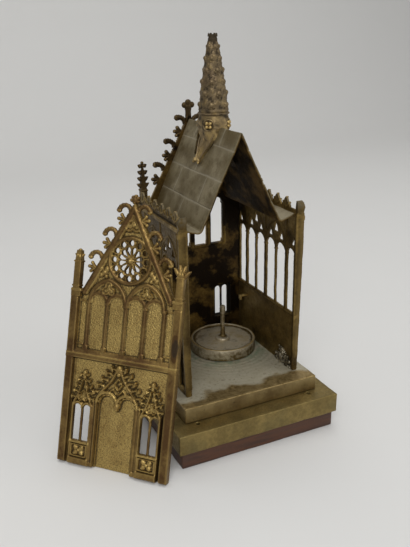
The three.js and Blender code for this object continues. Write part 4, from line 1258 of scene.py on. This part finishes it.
def patinated(name, bright, middle, dark, dirt_and_shade, rough=(0.34, 0.6), stipple=0.12, stipple_size=0.9, metal=0.9,
              stain=None, stain_share=(0.55, 0.7), punched=0.0, dust_and_sheen=None, stain_lean=0.0):
    """Worn cast metal: bright on grounds, darker on mouldings. Raised places are lighter, as rubbed wear and
    painted highlight; hollows are darker, as dirt and painted shade.
    A tone of 2 or more is soot, and on the sheet under the spire's slot it is painted shade. Dust on the wall
    tops is partly painted highlight. stain_lean shifts the stain towards +X."""
    s = Shader(name)
    tone, cavity = s.layer("tone"), s.layer("cavity")
    broad, fine, spots = s.noise(14, 5), s.noise(2.2, 5, 0.6), s.noise(0.9, 3, 0.7)
    shade = s.math("ADD", tone, s.remap(broad, 0.3, 0.7, -0.3, 0.3))
    shade = s.math("ADD", shade, s.remap(fine, 0.3, 0.7, -0.16, 0.16))
    colour = s.mix(s.remap(shade, 0.0, 0.5), bright, middle)
    colour = s.mix(s.remap(shade, 0.45, 0.95), colour, dark)
    # Painted highlight, partly rubbed wear: raised places (cavity above 0.12) are lightened towards the
    # bright colour.
    rubbed_wear_and_highlight = s.math("MULTIPLY", s.remap(cavity, 0.12, 0.75), s.remap(fine, 0.35, 0.65, 0.35, 1.0))
    colour = s.mix(s.math("MULTIPLY", rubbed_wear_and_highlight, 0.45), colour, bright)
    # Painted shade, partly dirt: hollows (cavity below -0.08) are darkened towards the dirt-and-shade colour.
    hollow = s.remap(s.math("ADD", cavity, s.remap(fine, 0.3, 0.7, -0.12, 0.12)), -0.08, -0.5)
    specks = s.remap(spots, 0.60, 0.72, 0.0, 0.45)
    dots = s.cells(stipple_size)
    plain = s.remap(tone, 0.3, 0.1) if punched else 1.0
    ground = s.math("MULTIPLY", plain, s.remap(dots, 0.52, 0.18, 0.0, punched))
    grime_and_shade = s.math("MAXIMUM", s.math("MAXIMUM", hollow, specks), ground)
    # Tone 2 and more: soot on the front's smudge; painted shade on the dark sheet under the spire's slot.
    soot_and_shade = s.remap(s.math("ADD", tone, s.remap(fine, 0.3, 0.7, -0.3, 0.3)), 1.4, 2.0)
    grime_and_shade = s.math("MAXIMUM", grime_and_shade, soot_and_shade)
    if stain is not None:
        spread = s.math("ADD", s.noise(20, 4, 0.6), s.math("MULTIPLY", s.axis("X"), stain_lean))
        patches = s.remap(spread, *stain_share)
        colour = s.mix(patches, colour, stain)
    # Dirt, specks, punched dots, soot and painted shade all darken towards one colour.
    colour = s.mix(s.math("MULTIPLY", grime_and_shade, 0.85), colour, dirt_and_shade)
    # Lighter crests along the wall tops: settled dust and painted highlight.
    if dust_and_sheen is not None:
        high_up = s.remap(s.axis("Z"), (SIDE_TOP - 0.5) * MM, (SIDE_TOP + 4) * MM)
        settled_dust_and_sheen = s.math("MULTIPLY", high_up, s.remap(fine, 0.3, 0.6))
        colour = s.mix(s.math("MULTIPLY", settled_dust_and_sheen, 0.4), colour, dust_and_sheen)
    roughness = s.math("ADD", s.remap(fine, 0.3, 0.7, *rough), s.math("MULTIPLY", grime_and_shade, 0.2))
    metallic = s.math("SUBTRACT", metal, s.math("MULTIPLY", grime_and_shade, 0.25))
    grain = s.bump(s.math("MULTIPLY", dots, plain), stipple)
    normal = s.bump(fine, 0.12, grain)
    return s.finish(colour, roughness, metallic, normal)


def roof_metal():
    s = Shader("roof_oxide")
    lines = s.layer("tone")
    broad, fine, streak = s.noise(16, 5), s.noise(1.6, 5, 0.65), s.noise(7, 5, 0.7)
    colour = s.mix(s.remap(broad, 0.4, 0.62), (0.118, 0.086, 0.034), (0.245, 0.203, 0.118))
    colour = s.mix(s.remap(streak, 0.5, 0.66, 0, 0.75), colour, (0.088, 0.060, 0.020))
    colour = s.mix(s.remap(fine, 0.45, 0.7, 0, 0.4), colour, (0.265, 0.225, 0.140))
    colour = s.mix(s.remap(lines, 0.0, 1.0, 0.0, 0.7), colour, (0.40, 0.36, 0.27))
    inside = s.remap(lines, -0.5, -1.5)
    under = s.mix(s.remap(broad, 0.42, 0.6), (0.020, 0.011, 0.003), (0.160, 0.094, 0.026))
    colour = s.mix(inside, colour, under)
    roughness = s.math("ADD", s.remap(fine, 0.3, 0.7, 0.42, 0.62), s.math("MULTIPLY", inside, 0.2))
    metallic = s.remap(inside, 0, 1, 0.6, 1.0)
    return s.finish(colour, roughness, metallic, s.bump(fine, 0.12))


def step_metal():
    """The step: grey worn floor with rings round the disc, golden along its wavy front margin."""
    s = Shader("floor_brass")
    fine, broad, edge_noise = s.noise(1.8, 5, 0.6), s.noise(13, 5), s.noise(9, 3)
    x, y, z = s.axis("X"), s.axis("Y"), s.axis("Z")
    dx, dy = s.math("SUBTRACT", x, float(DISC_X * MM)), s.math("SUBTRACT", y, float(DISC_Y * MM))
    away = s.math("SQRT", s.math("ADD", s.math("MULTIPLY", dx, dx), s.math("MULTIPLY", dy, dy)))
    rings = s.math("SINE", s.math("ADD", s.math("MULTIPLY", away, 1700.0), s.math("MULTIPLY", broad, 6.0)))
    faint = s.remap(away, 0.022, 0.045, 0.85, 0.08)
    floor = s.mix(s.math("MULTIPLY", s.remap(rings, -1, 1), faint), (0.44, 0.40, 0.295), (0.24, 0.235, 0.17))
    floor = s.mix(s.remap(broad, 0.42, 0.66, 0, 0.6), floor, (0.36, 0.32, 0.22))
    blotches = s.remap(s.noise(6, 4, 0.6), 0.45, 0.6, 0, 0.65)
    verdigris = s.math("MULTIPLY", s.remap(away, 0.034, 0.025), blotches)
    floor = s.mix(verdigris, floor, (0.16, 0.23, 0.15))
    floor = s.mix(s.remap(fine, 0.5, 0.7, 0, 0.4), floor, (0.20, 0.17, 0.11))
    gold = s.mix(s.remap(fine, 0.35, 0.65), (0.23, 0.155, 0.055), (0.42, 0.31, 0.14))
    margin = s.math("ADD", y, s.remap(s.noise(26, 2, 0.4), 0.3, 0.7, -0.008, 0.006))
    margin = s.math("ADD", margin, s.remap(edge_noise, 0.3, 0.7, -0.0015, 0.0015))
    inside = s.remap(margin, NAVE_FRONT * MM - 0.002, NAVE_FRONT * MM + 0.001)
    colour = s.mix(inside, gold, floor)
    side = s.mix(s.remap(broad, 0.35, 0.65), (0.16, 0.11, 0.045), (0.31, 0.235, 0.105))
    top = s.remap(z, (FLOOR - 0.8) * MM, (FLOOR - 0.3) * MM)
    colour = s.mix(top, side, colour)
    colour = s.mix(s.remap(fine, 0.62, 0.72, 0, 0.7), colour, (0.07, 0.05, 0.025))
    roughness = s.remap(fine, 0.3, 0.7, 0.36, 0.6)
    metallic = s.remap(s.math("MULTIPLY", top, inside), 0, 1, 0.85, 0.3)
    return s.finish(colour, roughness, metallic, s.bump(fine, 0.15))


def stained_wood():
    s = Shader("slab_wood")
    grain, broad, fine = s.noise(3.2, 6, 0.6, (0.12, 1, 1)), s.noise(22, 4), s.noise(1.4, 4, 0.7)
    colour = s.mix(s.remap(grain, 0.35, 0.65), (0.030, 0.010, 0.004), (0.094, 0.032, 0.011))
    colour = s.mix(s.remap(broad, 0.45, 0.7, 0, 0.6), colour, (0.070, 0.028, 0.014))
    colour = s.mix(s.remap(fine, 0.62, 0.75, 0, 0.5), colour, (0.17, 0.09, 0.05))
    roughness = s.remap(grain, 0.3, 0.7, 0.42, 0.62)
    return s.finish(colour, roughness, 0.0, s.bump(grain, 0.2))


def studio_paint(name, colour):
    s = Shader(name)
    cloud = s.noise(90, 2)
    shaded = tuple(c * 0.985 for c in colour)
    return s.finish(s.mix(s.remap(cloud, 0.3, 0.7, 0.0, 0.5), colour, shaded), 0.9, 0.0)


# ---------------------------------------------------------------- putting it together


def fit(piece, nodes, material):
    """Gives a piece its material, and ties it to the frame."""
    piece.data.materials.clear()
    piece.data.materials.append(material)
    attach(piece, "root")
    if nodes:
        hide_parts(*nodes)


def assemble():
    gilt = patinated("gilt", (0.45, 0.318, 0.108), (0.265, 0.172, 0.056), (0.105, 0.056, 0.021),
                     (0.028, 0.017, 0.007), stipple=0.2, stipple_size=0.85, punched=0.7)
    brown = patinated("brown_cast", (0.34, 0.24, 0.085), (0.195, 0.128, 0.038), (0.085, 0.055, 0.018),
                      (0.016, 0.011, 0.004), stain=(0.055, 0.034, 0.010), stain_share=(0.55, 0.7),
                      rough=(0.4, 0.62), dust_and_sheen=(0.27, 0.245, 0.18))
    rear_brown = patinated("rear_cast", (0.36, 0.245, 0.07), (0.22, 0.14, 0.036), (0.085, 0.050, 0.014),
                           (0.010, 0.007, 0.003), stain=(0.012, 0.007, 0.003), stain_share=(0.48, 0.57),
                           stain_lean=3.0, rough=(0.4, 0.62))
    leaf = patinated("brown_leaf", (0.22, 0.16, 0.075), (0.095, 0.062, 0.026), (0.040, 0.025, 0.011),
                     (0.010, 0.007, 0.004), rough=(0.4, 0.62))
    olive = patinated("olive_brass", (0.34, 0.25, 0.09), (0.235, 0.172, 0.062), (0.15, 0.108, 0.038),
                      (0.045, 0.034, 0.015), stain=(0.165, 0.135, 0.058), stain_share=(0.5, 0.85))
    bronze = patinated("spire_bronze", (0.48, 0.345, 0.14), (0.225, 0.165, 0.088), (0.135, 0.10, 0.058),
                       (0.036, 0.026, 0.014), stain=(0.20, 0.135, 0.085), stain_share=(0.5, 0.75),
                       stipple=0.09, stipple_size=0.8, rough=(0.42, 0.66))
    disc = patinated("disc_brass", (0.40, 0.29, 0.12), (0.60, 0.53, 0.39), (0.115, 0.078, 0.026),
                     (0.05, 0.04, 0.022), stipple=0.03, metal=0.7)
    solder = patinated("old_solder", (0.42, 0.38, 0.29), (0.17, 0.14, 0.085), (0.05, 0.04, 0.022),
                       (0.02, 0.014, 0.008), rough=(0.45, 0.65))

    front, front_leaves = west_front()
    fit(front, ["front_panel"], gilt)
    fit(front_leaves, [], gilt)
    rear, rear_leaves = rear_wall()
    fit(rear, ["rear_wall"], rear_brown)
    fit(rear_leaves, [], leaf)
    fit(side_wall("nave_left", 1), ["left_wall"], brown)
    fit(side_wall("nave_right", -1), ["right_wall"], brown)
    lug, lump = fixings()
    fit(lug, [], brown)
    fit(lump, [], solder)
    fit(roof(), ["roof"], roof_metal())
    fit(spire_core(), ["spire"], bronze)
    details = spire_details()
    tongue(details, -1)
    tongue(details, 1)
    fit(details.mesh("spire_ornament", upright), [], bronze)
    slab = worn_block("slab_block", slab_low, slab_high, 0.8, 0.1, 81)
    fit(slab, ["base_slab"], stained_wood())
    fit(plinth(), ["plinth"], olive)
    step = worn_block("step_block", step_low, step_high, 0.6, 0.12, 83)
    fit(step, ["step"], step_metal())
    fit(stand_disc(), ["stand_disc"], disc)
    fit(spindle(), ["spindle"], disc)


def studio():
    """Pale floor that curves up into a backdrop, soft lights, and the camera."""
    width, front, back, tall, bend = 3.0, -1.6, 1.3, 2.2, 0.5
    profile = [(front, 0.0), (back - bend, 0.0)]
    profile += arc((back - bend, bend), bend, -80, 0, 8)
    profile.append((back, tall))
    points = np.array([(x, y, z) for y, z in profile for x in (-width, width)])
    faces = [[2 * k, 2 * k + 1, 2 * k + 3, 2 * k + 2] for k in range(len(profile) - 1)]
    sweep = make_mesh("studio_sweep", points, faces, crease=89)
    sweep.data.materials.append(studio_paint("backdrop", (0.66, 0.655, 0.64)))

    world = bpy.data.worlds.new("studio")
    bpy.context.scene.world = world
    world.use_nodes = True
    sky = world.node_tree.nodes["Background"].inputs
    sky["Color"].default_value, sky["Strength"].default_value = (0.86, 0.86, 0.85, 1), 0.36

    for name, spot, aim, size, power in (
        ("key", (-0.6, -1.1, 1.15), (-0.02, 0, 0.1), 0.9, 13.0),
        ("fill", (1.1, -0.8, 0.7), (0, 0, 0.1), 0.9, 4.5),
        ("top", (0.1, 0.25, 1.6), (0, 0, 0.1), 1.2, 10.0),
    ):
        data = bpy.data.lights.new(name, "AREA")
        data.size, data.energy = size, power
        lamp = bpy.data.objects.new(name, data)
        lamp.location = spot
        lamp.rotation_euler = (Vector(aim) - Vector(spot)).to_track_quat("-Z", "Y").to_euler()
        bpy.context.scene.collection.objects.link(lamp)

    data = bpy.data.cameras.new("camera")
    data.lens, data.sensor_width, data.clip_start, data.clip_end = CAMERA_LENS, 36.0, 0.02, 20.0
    camera = bpy.data.objects.new("camera", data)
    bpy.context.scene.collection.objects.link(camera)
    azimuth, elevation, roll = (radians(angle) for angle in CAMERA_ANGLES)
    level = math.cos(elevation)
    back = Vector((math.sin(azimuth) * level, -math.cos(azimuth) * level, math.sin(elevation)))
    right = (-back).cross(Vector((0, 0, 1))).normalized()
    up = back.cross(right)
    tilt, level = math.sin(roll), math.cos(roll)
    right, up = right * level + up * tilt, up * level - right * tilt
    turned = Matrix((right, up, back)).transposed()
    camera.matrix_world = Matrix.Translation(CAMERA_PLACE) @ turned.to_4x4()
    bpy.context.scene.camera = camera
    bpy.context.scene.view_settings.view_transform = "Standard"


assemble()
studio()
bpy.context.view_layer.update()
